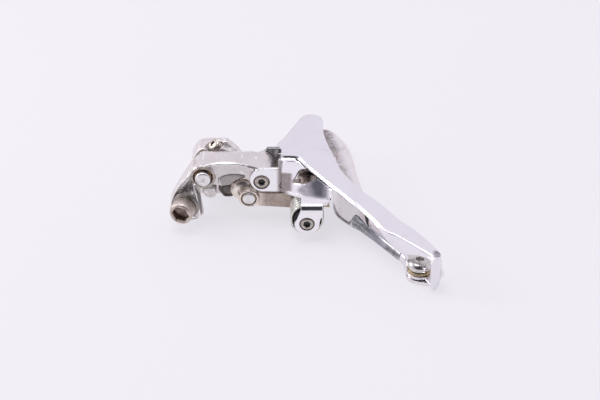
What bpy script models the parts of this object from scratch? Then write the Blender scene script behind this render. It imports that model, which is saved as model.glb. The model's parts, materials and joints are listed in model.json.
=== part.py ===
"""Front derailleur for a frame with a brazed-on tab, lying on its inner side.

+X runs down the bicycle, +Y forwards and +Z outwards, away from the frame.
Sizes and places below are in millimetres, and MM turns them into metres.
The two links and the cage form a parallelogram: both links swing on the body,
and the cage keeps its attitude while it moves outwards.
"""

import math

import bmesh
import bpy
from mathutils import Vector

MM = 0.001
GAP = 0.3

# The middle of the part's footprint, moved to the origin.
FOOTPRINT_CENTRE = Vector((1.105, -3.554, 0.0))

# Parallelogram: pivots as (x, z) on axes along Y.
LINK_RUN = 20.3
LINK_DROP = 1.3
OUTER_BODY_PIVOT = (-33.6, 17.6)
INNER_BODY_PIVOT = (-17.9, 8.8)
OUTER_CAGE_PIVOT = (OUTER_BODY_PIVOT[0] + LINK_RUN, OUTER_BODY_PIVOT[1] - LINK_DROP)
INNER_CAGE_PIVOT = (INNER_BODY_PIVOT[0] + LINK_RUN, INNER_BODY_PIVOT[1] - LINK_DROP)
PIN_RADIUS = 2.1
PIN_END_RADIUS = 1.6
SCREW_RADIUS = 1.9
BUSH_WALL = 0.4

# Outer link: side walls and pivot barrels, as stations along Y.
LINK_NEAR = -11.0
LINK_FAR = -0.6
LINK_WALL = 2.4
LINK_BARREL_END = 1.0
LINK_BARREL_RADIUS = 4.5
LINK_CAGE_RADIUS = 4.3

# Cable clamp: the bolt's axis leans towards the top of the bicycle.
CLAMP_AXIS = Vector((-0.26, -0.9656, 0.0))
CLAMP_SEAT = Vector((-40.1, -15.2, 7.7))
CLAMP_HEAD_RADIUS = 4.1
CLAMP_HEAD_LENGTH = 5.0
CLAMP_SOCKET_FLATS = 5.0
CLAMP_THREAD_RADIUS = 2.4
CLAMP_WASHER_RADIUS = 4.9
CLAMP_WASHER_THICKNESS = 1.2
CLAMP_PAD_RADIUS = 4.8
CLAMP_PAD_DEPTH = 4.0

# Body casting, as stations along Y.
BODY_NEAR = 1.3
BODY_LUG_END = 8.5
BODY_PAD = 13.0
BODY_TOP = 20.9

# Frame bolt.
FRAME_BOLT_AXIS = (-29.0, 6.0)
FRAME_BOLT_RADIUS = 2.4
FRAME_TAB_ROOM = 4.0
FRAME_WASHER_THICKNESS = 1.3
FRAME_WASHER_RADIUS = 6.0

# Limit screws.
LOW_SCREW_MOUTH = Vector((-30.0, 3.6, 21.0))
LOW_SCREW_AXIS = Vector((-0.5, -0.4, 0.77)).normalized()
HIGH_SCREW_MOUTH = Vector((-36.9, 10.4, 11.8))
HIGH_SCREW_AXIS = Vector((-1.0, 0.0, 0.0))
LIMIT_SCREW_RADIUS = 2.1
LIMIT_SCREW_DEPTH = 8.0

# Cage: sheet steel, with the outer plate bent inwards towards the tail.
SHEET = 1.2
PLATE_TOP = 16.2
PLATE_THICKNESS = 1.0
PLATE_BEND_Y = -15.0
PLATE_SLOPE = 0.08
SHELF_TOP = 14.9
CLEVIS_NEAR = -12.6
CLEVIS_FAR = 1.4
LOWER_EAR_NEAR = -25.2
LOWER_EAR_FAR = -0.4
FLANGE_X = 10.2
WALL_X = 12.3
RIVET_SPAN = (3.2, 7.4)
RIVET_HEAD = 1.9
RIVET_HEIGHT = 9.0

# Tail screw, upright through the tail tabs.
TAIL_AXIS = (39.8, -44.2)
TAIL_HEAD_RADIUS = 4.0
TAIL_THREAD_RADIUS = 1.9
TAIL_TAB_Z = 1.5

# Return spring, round the inner cage pivot.
SPRING_RADIUS = 5.9
SPRING_WIRE = 1.15
SPRING_ENDS = (-23.4, -12.9)

ROUND = 28
SMALL_ROUND = 18


def clear_scene():
    for item in list(bpy.data.objects):
        bpy.data.objects.remove(item, do_unlink=True)


def material(name, colour, metallic, roughness):
    made = bpy.data.materials.new(name)
    made.use_nodes = True
    shader = made.node_tree.nodes["Principled BSDF"]
    shader.inputs["Base Color"].default_value = (*colour, 1.0)
    shader.inputs["Metallic"].default_value = metallic
    shader.inputs["Roughness"].default_value = roughness
    made.diffuse_color = (*colour, 1.0)
    return made


def arc(centre, radius, start, end, steps):
    """Points on a circle from one angle to the other, in degrees."""
    points = []
    for step in range(steps + 1):
        angle = math.radians(start + (end - start) * step / steps)
        points.append((centre[0] + radius * math.cos(angle), centre[1] + radius * math.sin(angle)))
    return points


def prism(outline, across, low, high):
    """The outline, drawn in the plane across an axis, extruded along it."""
    spread = {
        "x": lambda a, b, along: (along, a, b),
        "y": lambda a, b, along: (a, along, b),
        "z": lambda a, b, along: (a, b, along),
    }[across]
    shape = bmesh.new()
    floor = [shape.verts.new(spread(a, b, low)) for a, b in outline]
    roof = [shape.verts.new(spread(a, b, high)) for a, b in outline]
    shape.faces.new(floor)
    shape.faces.new(roof)
    count = len(outline)
    for index in range(count):
        after = (index + 1) % count
        shape.faces.new((floor[index], floor[after], roof[after], roof[index]))
    bmesh.ops.recalc_face_normals(shape, faces=shape.faces)
    return shape


def turned(start, axis, profile, sides=ROUND, hollow=False):
    """A turned solid: profile lists (distance along the axis, radius)."""
    axis = Vector(axis).normalized()
    across = axis.orthogonal().normalized()
    beside = axis.cross(across)
    shape = bmesh.new()
    rings = []
    for along, radius in profile:
        ring = []
        for side in range(sides):
            angle = 2 * math.pi * side / sides
            out = across * math.cos(angle) + beside * math.sin(angle)
            ring.append(shape.verts.new(Vector(start) + axis * along + out * radius))
        rings.append(ring)
    pairs = list(zip(rings, rings[1:]))
    if hollow:
        pairs.append((rings[-1], rings[0]))
    else:
        shape.faces.new(rings[0])
        shape.faces.new(rings[-1])
    for one, other in pairs:
        for side in range(sides):
            after = (side + 1) % sides
            shape.faces.new((one[side], one[after], other[after], other[side]))
    bmesh.ops.recalc_face_normals(shape, faces=shape.faces)
    return shape


def across_y(pivot, low, high, radius, sides=ROUND):
    """A plain cylinder along Y round a pivot."""
    return turned((pivot[0], low, pivot[1]), (0, 1, 0), [(0, radius), (high - low, radius)], sides)


def tube_y(pivot, low, high, inner, outer, sides=ROUND):
    length = high - low
    profile = [(0, outer), (length, outer), (length, inner), (0, inner)]
    return turned((pivot[0], low, pivot[1]), (0, 1, 0), profile, sides, hollow=True)


def hexagon_socket(start, axis, flats, depth):
    """A cutter for a hexagon socket, which goes in against the axis."""
    corner = flats / math.sqrt(3)
    return turned(start, axis, [(-depth, corner), (1.0, corner)], sides=6)


def standing_strip(stations, thickness):
    """An upright strip of sheet along stations of (x, y, lower edge, upper edge)."""
    points = [Vector((x, y)) for x, y, _, _ in stations]
    shape = bmesh.new()
    rings = []
    for index, (x, y, low, high) in enumerate(stations):
        before = points[max(index - 1, 0)]
        after = points[min(index + 1, len(points) - 1)]
        run = (after - before).normalized()
        side = Vector((-run.y, run.x)) * thickness / 2
        corners = [(x + side.x, y + side.y, low), (x + side.x, y + side.y, high)]
        corners += [(x - side.x, y - side.y, high), (x - side.x, y - side.y, low)]
        rings.append([shape.verts.new(corner) for corner in corners])
    shape.faces.new(rings[0])
    shape.faces.new(rings[-1])
    for one, other in zip(rings, rings[1:]):
        for corner in range(4):
            after = (corner + 1) % 4
            shape.faces.new((one[corner], one[after], other[after], other[corner]))
    bmesh.ops.recalc_face_normals(shape, faces=shape.faces)
    return shape


class Body:
    """A moving group: an empty on its joint's axis, and the pieces that it carries."""

    def __init__(self, name, centre, parent=None):
        self.centre = Vector(centre)
        self.empty = bpy.data.objects.new(name, None)
        self.empty.empty_display_size = 5 * MM
        bpy.context.scene.collection.objects.link(self.empty)
        start = parent.centre if parent else FOOTPRINT_CENTRE
        self.empty.parent = parent.empty if parent else None
        self.empty.location = (self.centre - start) * MM

    def add(self, name, shape, finish):
        """Turns a shape into an object that hangs on this group's empty."""
        mesh = bpy.data.meshes.new(name)
        for vert in shape.verts:
            vert.co = (vert.co - self.centre) * MM
        shape.to_mesh(mesh)
        shape.free()
        piece = bpy.data.objects.new(name, mesh)
        bpy.context.scene.collection.objects.link(piece)
        piece.parent = self.empty
        if finish:
            mesh.materials.append(finish)
            mesh.shade_smooth()
            mesh.set_sharp_from_angle(angle=math.radians(35))
        return piece

    def build(self, name, finish, base, joined=(), cut=()):
        """An object made of a base shape, with others joined to it and cut from it."""
        piece = self.add(name, base, finish)
        for operation, shapes in (("UNION", joined), ("DIFFERENCE", cut)):
            for index, shape in enumerate(shapes):
                tool = self.add(f"{name}_{operation.lower()}_{index}", shape, None)
                tool.hide_render = True
                tool.display_type = "WIRE"
                modifier = piece.modifiers.new(tool.name, "BOOLEAN")
                modifier.operation = operation
                modifier.object = tool
        return piece


def body_casting(body, finish):
    """The fixed body: a block behind the links that holds both pivot pins."""
    knuckle = arc(INNER_BODY_PIVOT, 4.2, 112, -62, 14)
    block = [(-38.4, 1.8), (-38.4, 16.2), (-35.6, BODY_TOP), (-27.0, BODY_TOP), (-24.0, 18.8)]
    block += [(-22.3, 16.8), (-22.3, 12.4), *knuckle, (-22.0, 1.8)]
    foot = [(-37.6, 0.0), (-37.6, 3.0), (-21.0, 3.0), (-21.0, 0.0)]
    pad = [(-38.4, 1.2), (-38.4, 15.0), (-22.6, 15.0), (-20.2, 12.0), (-20.2, 1.2)]
    tongue = [(-34.6, 9.4), (-33.2, 11.0), (-27.8, 11.0), (-27.6, 7.4), (-31.0, 7.6), (-34.4, 8.6)]
    joined = [
        prism(foot, "y", 4.0, BODY_PAD - 1.0),
        prism(pad, "y", BODY_LUG_END - 1.0, BODY_PAD),
        prism(tongue, "y", -8.2, BODY_NEAR + 1.0),
    ]
    cut = [
        across_y(OUTER_BODY_PIVOT, BODY_NEAR - 1.0, 7.0 + GAP, PIN_END_RADIUS + GAP),
        across_y(INNER_BODY_PIVOT, BODY_NEAR - 1.0, 7.0 + GAP, PIN_END_RADIUS + GAP),
        across_y(FRAME_BOLT_AXIS, 4.2, BODY_PAD + 1.0, FRAME_BOLT_RADIUS + GAP),
        limit_screw_hole(LOW_SCREW_MOUTH, LOW_SCREW_AXIS),
        limit_screw_hole(HIGH_SCREW_MOUTH, HIGH_SCREW_AXIS),
    ]
    body.build("body_casting", finish, prism(block, "y", BODY_NEAR, BODY_LUG_END), joined, cut)


def limit_screw_hole(mouth, axis):
    radius = LIMIT_SCREW_RADIUS + GAP
    return turned(mouth, axis, [(-LIMIT_SCREW_DEPTH - 1.0, radius), (3.0, radius)], SMALL_ROUND)


def limit_screw(group, name, mouth, axis, finish):
    """A headless slotted screw that stands a little out of its hole."""
    top = 1.4
    profile = [(-LIMIT_SCREW_DEPTH, LIMIT_SCREW_RADIUS - 0.5), (-LIMIT_SCREW_DEPTH + 0.6, LIMIT_SCREW_RADIUS)]
    profile += [(top - 0.5, LIMIT_SCREW_RADIUS), (top, LIMIT_SCREW_RADIUS - 0.4)]
    across = axis.orthogonal().normalized()
    beside = axis.cross(across)
    slot = bmesh.new()
    corners = []
    for along in (top - 0.8, top + 1.0):
        for one, other in ((-3.0, -0.35), (3.0, -0.35), (3.0, 0.35), (-3.0, 0.35)):
            corners.append(slot.verts.new(mouth + axis * along + across * one + beside * other))
    for face in ((0, 1, 2, 3), (4, 5, 6, 7), (0, 1, 5, 4), (1, 2, 6, 5), (2, 3, 7, 6), (3, 0, 4, 7)):
        slot.faces.new([corners[index] for index in face])
    bmesh.ops.recalc_face_normals(slot, faces=slot.faces)
    group.build(name, finish, turned(mouth, axis, profile, SMALL_ROUND), cut=[slot])


def body_pin(body, name, pivot, near, head_radius, finish):
    """A pivot pin: a chamfered end that shows, a bearing length, and a thinner end in the body."""
    profile = [(0, head_radius - 0.5), (0.5, head_radius), (1.6, head_radius), (1.6, PIN_RADIUS)]
    profile += [(BODY_NEAR - near - 0.1, PIN_RADIUS), (BODY_NEAR - near - 0.1, PIN_END_RADIUS)]
    profile += [(7.0 - near, PIN_END_RADIUS)]
    body.build(name, finish, turned((pivot[0], near, pivot[1]), (0, 1, 0), profile))


def stop_insert(body, finish):
    """The dark block beside the inner link that the link comes to rest on."""
    outline = [(-27.3, 8.9), (-25.6, 10.3), (-22.4, 10.3), (-22.4, 4.4), (-23.4, 3.2)]
    outline += [(-25.4, 3.2), (-27.3, 6.6)]
    body.build("stop_insert", finish, prism(outline, "y", -7.5, BODY_NEAR - GAP))


def frame_fixing(body, steel, plated):
    """The bolt that clamps the body to the frame's tab, with its washer."""
    washer = BODY_PAD + FRAME_TAB_ROOM
    head = washer + FRAME_WASHER_THICKNESS + GAP
    start = (FRAME_BOLT_AXIS[0], 4.8, FRAME_BOLT_AXIS[1])
    seat = head - start[1]
    profile = [(0, FRAME_BOLT_RADIUS - 0.5), (0.5, FRAME_BOLT_RADIUS), (seat, FRAME_BOLT_RADIUS)]
    profile += [(seat, 4.2), (seat + 3.6, 4.2), (seat + 4.0, 3.8)]
    socket = hexagon_socket((start[0], head + 4.0, start[2]), (0, 1, 0), 5.0, 2.4)
    body.build("frame_bolt", steel, turned(start, (0, 1, 0), profile), cut=[socket])
    back = washer + FRAME_WASHER_THICKNESS
    ring = tube_y(FRAME_BOLT_AXIS, washer, back, FRAME_BOLT_RADIUS + GAP, FRAME_WASHER_RADIUS)
    body.build("frame_washer", plated, ring)


def outer_link(link, finish):
    """The painted outer link: an arched channel with a barrel at each pivot and the cable arm."""
    arch = [(-38.8, 18.3), (-37.2, 20.3), (-34.8, 21.6), (-30.3, 23.0), (-25.5, 23.3)]
    arch += [(-19.0, 22.4), (-15.2, 21.0)]
    cage_end = arc(OUTER_CAGE_PIVOT, LINK_CAGE_RADIUS, 80, -150, 16)
    under = [(-19.1, 17.2), (-21.9, 16.4), (-24.5, 14.4), (-27.0, 12.4)]
    body_end = arc(OUTER_BODY_PIVOT, LINK_BARREL_RADIUS, -50, -175, 10)
    pocket = [(-28.9, 9.0), (-28.9, 20.2), (-25.5, 20.9), (-20.0, 20.1), (-18.0, 19.6), (-18.0, 9.0)]
    arm = [(-38.8, 18.3), (-41.8, 13.7), (-44.6, 8.6), (-40.0, 5.0), (-35.4, 8.6), (-36.6, 13.0)]
    arm += [(-34.0, 14.5), (-34.0, 19.0)]
    pad = turned(
        CLAMP_SEAT - CLAMP_AXIS * (CLAMP_WASHER_THICKNESS + 2 * GAP),
        -CLAMP_AXIS,
        [(0, CLAMP_PAD_RADIUS), (CLAMP_PAD_DEPTH, CLAMP_PAD_RADIUS)],
    )
    joined = [
        prism(arm, "y", LINK_NEAR, -8.6),
        pad,
        across_y(OUTER_BODY_PIVOT, LINK_NEAR - 1.0, LINK_NEAR + 1.0, LINK_BARREL_RADIUS - 0.1),
        across_y(OUTER_CAGE_PIVOT, LINK_FAR - 1.0, LINK_BARREL_END, LINK_CAGE_RADIUS - 0.1),
    ]
    thread = CLAMP_THREAD_RADIUS + GAP
    body_bore = PIN_RADIUS + BUSH_WALL + 2 * GAP
    cage_bore = SCREW_RADIUS + BUSH_WALL + 2 * GAP
    cut = [
        prism(pocket, "y", LINK_NEAR + LINK_WALL, LINK_FAR - LINK_WALL),
        across_y(OUTER_BODY_PIVOT, LINK_NEAR - 2.0, LINK_FAR + 1.0, body_bore),
        across_y(OUTER_CAGE_PIVOT, LINK_NEAR - 1.0, LINK_BARREL_END + 1.0, cage_bore),
        turned(CLAMP_SEAT, -CLAMP_AXIS, [(-2.0, thread), (12.0, thread)], SMALL_ROUND),
    ]
    outline = arch + cage_end + under + body_end
    link.build("outer_link", finish, prism(outline, "y", LINK_NEAR, LINK_FAR), joined, cut)


def bush(group, name, pivot, low, high, shaft_radius, finish):
    inner = shaft_radius + GAP
    group.build(name, finish, tube_y(pivot, low, high, inner, inner + BUSH_WALL, SMALL_ROUND))


def cable_clamp(clamp, steel, plated):
    """The bolt and washer that hold the cable to the arm."""
    tip = -CLAMP_WASHER_THICKNESS - CLAMP_PAD_DEPTH - 0.8
    profile = [(tip, CLAMP_THREAD_RADIUS), (0, CLAMP_THREAD_RADIUS)]
    profile += [(0, CLAMP_HEAD_RADIUS - 0.1), (0.2, CLAMP_HEAD_RADIUS)]
    profile += [(CLAMP_HEAD_LENGTH - 0.6, CLAMP_HEAD_RADIUS), (CLAMP_HEAD_LENGTH, CLAMP_HEAD_RADIUS - 0.6)]
    socket = hexagon_socket(CLAMP_SEAT + CLAMP_AXIS * CLAMP_HEAD_LENGTH, CLAMP_AXIS, CLAMP_SOCKET_FLATS, 3.0)
    clamp.build("clamp_bolt", steel, turned(CLAMP_SEAT, CLAMP_AXIS, profile), cut=[socket])
    inner = CLAMP_THREAD_RADIUS + GAP
    ring = [(-GAP, inner), (-GAP, CLAMP_WASHER_RADIUS - 0.3), (-GAP - 0.3, CLAMP_WASHER_RADIUS)]
    ring += [(-GAP - CLAMP_WASHER_THICKNESS, CLAMP_WASHER_RADIUS), (-GAP - CLAMP_WASHER_THICKNESS, inner)]
    clamp.build("clamp_washer", plated, turned(CLAMP_SEAT, CLAMP_AXIS, ring, hollow=True))


def inner_link(link, finish):
    """The inner link: a barrel on the body's pin, a bar, and an eye on the cage's screw."""
    bar = [(-19.0, 4.9), (-17.6, 12.6), (-15.4, 11.3), (-8.0, 11.1), (2.4, 11.8), (2.4, 3.2)]
    bar += [(-4.0, 4.0), (-12.0, 4.4)]
    joined = [
        prism(bar, "y", LINK_NEAR, -3.0),
        across_y(INNER_CAGE_PIVOT, LINK_NEAR - 1.6, LOWER_EAR_FAR - 0.4, 4.4),
    ]
    profile = [(0, 3.5), (0.5, 3.7), (1.0, 4.0), (LINK_BARREL_END + 12.0, 4.0)]
    barrel = turned((INNER_BODY_PIVOT[0], -12.0, INNER_BODY_PIVOT[1]), (0, 1, 0), profile)
    cut = [
        across_y(INNER_BODY_PIVOT, -13.0, LINK_BARREL_END + 1.0, PIN_RADIUS + BUSH_WALL + 2 * GAP),
        across_y(INNER_CAGE_PIVOT, -14.0, 2.0, SCREW_RADIUS + BUSH_WALL + 2 * GAP),
    ]
    link.build("inner_link", finish, barrel, joined, cut)


def return_spring(link, steel, plastic):
    """The coiled spring as the tube that it fills, and the sleeve inside it."""
    coil = tube_y(INNER_CAGE_PIVOT, *SPRING_ENDS, SPRING_RADIUS - SPRING_WIRE, SPRING_RADIUS)
    link.build("return_spring", steel, coil)
    outer = SPRING_RADIUS - SPRING_WIRE - GAP
    sleeve = tube_y(INNER_CAGE_PIVOT, *SPRING_ENDS, SCREW_RADIUS + GAP, outer, SMALL_ROUND)
    link.build("spring_sleeve", plastic, sleeve)


def cage_bracket(cage, finish):
    """The bracket that carries the cage: a clevis, a shelf under the outer plate, and two lower ears."""
    ear = [(-6.5, 12.4), (-6.5, 21.6), *arc((-12.6, 17.0), 4.6, 90, 270, 12)]
    near = CLEVIS_NEAR + 0.2
    far = CLEVIS_FAR + 1.0
    web = [(near, 12.4), (near, 21.5), (far, 20.4), (far, 12.4)]
    shelf = [(-7.6, 4.4), (-7.6, -12.5), (-6.6, -14.2), (0.8, -21.8), (0.4, LOWER_EAR_NEAR + 0.1)]
    shelf += [(7.7, LOWER_EAR_NEAR + 0.1), (9.4, -22.8), (10.6, -21.0), (11.3, -15.0), (11.3, 10.0)]
    shelf += [(-4.0, 10.0)]
    lower_ear = [(0.3, 14.8), (-1.5, 8.4), *arc(INNER_CAGE_PIVOT, 4.2, 170, 370, 14), (7.8, 14.8)]
    flange = [(-0.2, 5.0), (-0.2, 14.0), (9.6, 14.0), (9.6, 5.0)]
    window = [(0.0, -1.7), (3.6, -1.2), (6.2, -4.9), (5.0, -9.2), (1.5, -11.8), (-2.0, -11.2), (-2.8, -9.7)]
    joined = [
        prism(ear, "y", CLEVIS_NEAR, CLEVIS_NEAR + SHEET),
        prism(ear, "y", CLEVIS_FAR, CLEVIS_FAR + SHEET),
        prism(web, "x", -7.7, -6.5),
        prism(lower_ear, "y", LOWER_EAR_NEAR, LOWER_EAR_NEAR + SHEET),
        prism(lower_ear, "y", LOWER_EAR_FAR, LOWER_EAR_FAR + SHEET),
        prism(flange, "x", FLANGE_X, FLANGE_X + SHEET - 0.1),
    ]
    cut = [
        prism(window, "z", SHELF_TOP - 3.0, SHELF_TOP + 1.0),
        across_y(OUTER_CAGE_PIVOT, CLEVIS_NEAR - 1.0, CLEVIS_NEAR + 2.0, 2.8),
        across_y(OUTER_CAGE_PIVOT, CLEVIS_FAR - 1.0, CLEVIS_FAR + 2.0, SCREW_RADIUS + GAP),
        across_y(INNER_CAGE_PIVOT, LOWER_EAR_NEAR - 1.0, LOWER_EAR_NEAR + 2.0, 2.6),
        across_y(INNER_CAGE_PIVOT, LOWER_EAR_FAR - 0.8, LOWER_EAR_FAR + 2.0, SCREW_RADIUS + GAP),
        *rivet_holes(FLANGE_X - 1.0, FLANGE_X + 2.0),
    ]
    cage.build("cage_bracket", finish, prism(shelf, "z", SHELF_TOP - SHEET, SHELF_TOP), joined, cut)


def rivet_holes(low, high):
    holes = []
    for station in RIVET_SPAN:
        start = (low, station, RIVET_HEIGHT)
        holes.append(turned(start, (1, 0, 0), [(0, 1.5), (high - low, 1.5)], SMALL_ROUND))
    return holes


def rivets(cage, finish):
    """Two rivets that join the bracket's flange to the inner plate's wall."""
    length = WALL_X + SHEET / 2 - FLANGE_X
    profile = [(-1.1, 1.2), (-0.3 - GAP, RIVET_HEAD), (-GAP, RIVET_HEAD), (-GAP, 1.2), (length + GAP, 1.2)]
    profile += [(length + GAP, RIVET_HEAD), (length + GAP + 0.3, RIVET_HEAD), (length + 1.1, 1.2)]
    for name, station in zip(("rear_rivet", "front_rivet"), RIVET_SPAN):
        cage.build(name, finish, turned((FLANGE_X, station, RIVET_HEIGHT), (1, 0, 0), profile, SMALL_ROUND))


def plate_height(y):
    """Top face of the outer plate: level at the front, falling towards the tail."""
    return PLATE_TOP - PLATE_SLOPE * max(0.0, PLATE_BEND_Y - y)


def tail_hole(low, high):
    radius = TAIL_THREAD_RADIUS + GAP
    return turned((*TAIL_AXIS, low), (0, 0, 1), [(0, radius), (high - low, radius)])


def cage_outer_plate(cage, finish):
    """The outer plate with its turned-down tail edge, end cap and foot."""
    outline = [(-7.5, 4.4), (-8.6, 6.0), (-8.8, 9.0), (-8.4, 13.2), (-5.6, 17.6), (-2.0, 26.0), (0.6, 31.8)]
    outline += [(2.0, 32.5), (5.4, 32.3), (7.4, 31.4), (8.5, 29.4), (8.5, 20.6), (9.6, 13.5), (11.6, 5.6)]
    outline += [(13.4, -2.1), (16.6, -9.6), (20.4, -16.4), (27.2, -23.9), (32.2, -31.2), (38.8, -38.4)]
    outline += [(43.6, -45.4), (45.6, -49.6), (43.4, -52.4), (42.0, -50.4), (36.8, -46.6), (31.2, -41.6)]
    outline += [(27.9, -38.6), (25.2, -34.2), (22.2, -29.4), (15.4, -20.4), (10.4, -14.1), (2.8, -2.9)]
    outline += [(-1.1, 4.2)]
    plate = prism(outline, "z", -PLATE_THICKNESS, 0.0)
    everything = [*plate.verts, *plate.edges, *plate.faces]
    bmesh.ops.bisect_plane(plate, geom=everything, plane_co=(0, PLATE_BEND_Y, 0), plane_no=(0, 1, 0))
    for vert in plate.verts:
        vert.co.z += plate_height(vert.co.y)
    scallop = [(26.8, -35.8, 1.2), (28.8, -38.4, 2.8), (31.4, -41.0, 5.2), (33.2, -42.5, 5.4)]
    scallop += [(35.8, -44.9, 4.2), (38.9, -47.4, 2.2), (41.6, -49.6, 1.2)]
    edge = []
    for x, y, drop in scallop:
        edge.append((x, y, plate_height(y) - drop, plate_height(y) - 0.1))
    cap = [(43.4, -53.2, 0.9, plate_height(-53) - 0.2), (45.6, -50.4, 0.4, plate_height(-51) - 0.2)]
    cap += [(47.0, -48.6, 2.5, plate_height(-49) - 1.0)]
    foot = [*arc(TAIL_AXIS, 4.4, 20, 290, 14), (42.6, -51.6), (43.6, -52.8), (46.4, -48.8)]
    joined = [
        standing_strip(edge, PLATE_THICKNESS),
        standing_strip(cap, PLATE_THICKNESS),
        prism(foot, "z", TAIL_TAB_Z, TAIL_TAB_Z + PLATE_THICKNESS),
    ]
    cage.build("cage_outer_plate", finish, plate, joined, [tail_hole(0.4, 4.0)])


def cage_inner_plate(cage, finish):
    """The inner plate with the wall that closes the cage's top and a low edge along the tail."""
    wall = [(WALL_X, 9.6, 13.3), (WALL_X, -1.9, 13.3), (12.8, -5.6, 13.3), (13.5, -9.1, 13.6)]
    wall += [(14.6, -11.3, 13.8), (16.0, -13.2, 13.9), (18.2, -15.5, 13.4), (19.9, -16.9, 12.0)]
    wall += [(21.2, -18.4, 8.5), (22.4, -19.9, 4.2), (34.2, -36.3, 4.0), (35.6, -40.0, 3.0)]
    stations = [(x, y, 0.1, top) for x, y, top in wall]
    outline = [(11.7, 9.6), (5.6, 12.5), (1.6, 19.0), (1.0, 33.0), (3.4, 42.0), (7.0, 46.0), (9.6, 46.4)]
    outline += [(12.5, 44.1), (15.0, 39.8), (17.6, 34.8), (19.4, 27.4), (20.2, 20.3), (21.3, 12.3)]
    outline += [(22.5, 4.6), (24.4, -5.0), (28.6, -13.5), (34.5, -24.5), (40.5, -35.0), (44.4, -42.5)]
    outline += [(45.2, -47.6), (43.2, -50.0), *arc(TAIL_AXIS, 5.0, 290, 175, 8), (35.2, -40.6)]
    outline += [(33.8, -36.6), (22.0, -20.0), (19.6, -17.4), (17.4, -15.6), (15.6, -13.5), (14.1, -11.5)]
    outline += [(13.0, -9.3), (12.3, -5.6), (11.7, -1.9)]
    base = prism(outline, "z", 0.0, SHEET)
    joined = [standing_strip(stations, SHEET)]
    cut = [tail_hole(-1.0, 2.0), *rivet_holes(WALL_X - 1.5, WALL_X + 1.5)]
    cage.build("cage_inner_plate", finish, base, joined, cut)


def cage_screw(cage, name, pivot, near, far, head_radius, finish):
    """A pivot screw: its head sits in the near ear and its thread in the far one."""
    profile = [(0, head_radius - 0.4), (0.4, head_radius), (SHEET + 0.3, head_radius)]
    profile += [(SHEET + 0.3, SCREW_RADIUS), (far - near, SCREW_RADIUS)]
    socket = hexagon_socket((pivot[0], near, pivot[1]), (0, -1, 0), 2.0, 1.2)
    cage.build(name, finish, turned((pivot[0], near, pivot[1]), (0, 1, 0), profile), cut=[socket])


def tail_fixing(cage, steel, brass):
    """The screw through the tail tabs, with a plain washer and a lock washer under its head."""
    washer = TAIL_TAB_Z + PLATE_THICKNESS + GAP
    lock = washer + 0.7 + GAP
    head = lock + 0.7 + GAP
    start = (*TAIL_AXIS, 0.3)
    seat = head - start[2]
    profile = [(0, TAIL_THREAD_RADIUS - 0.3), (0.3, TAIL_THREAD_RADIUS), (seat, TAIL_THREAD_RADIUS)]
    profile += [(seat, TAIL_HEAD_RADIUS), (seat + 0.9, TAIL_HEAD_RADIUS), (seat + 1.8, 3.3)]
    profile += [(seat + 2.3, 2.2)]
    socket = hexagon_socket((*TAIL_AXIS, head + 2.3), (0, 0, 1), 2.5, 1.5)
    cage.build("tail_screw", steel, turned(start, (0, 0, 1), profile), cut=[socket])
    inner = TAIL_THREAD_RADIUS + GAP
    plain = [(0, inner), (0, 4.2), (0.7, 4.2), (0.7, inner)]
    cage.build("tail_washer", brass, turned((*TAIL_AXIS, washer), (0, 0, 1), plain, hollow=True))
    split = [(0, inner), (0, 3.7), (0.7, 3.7), (0.7, inner)]
    cage.build("tail_lock_washer", steel, turned((*TAIL_AXIS, lock), (0, 0, 1), split, hollow=True))


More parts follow.
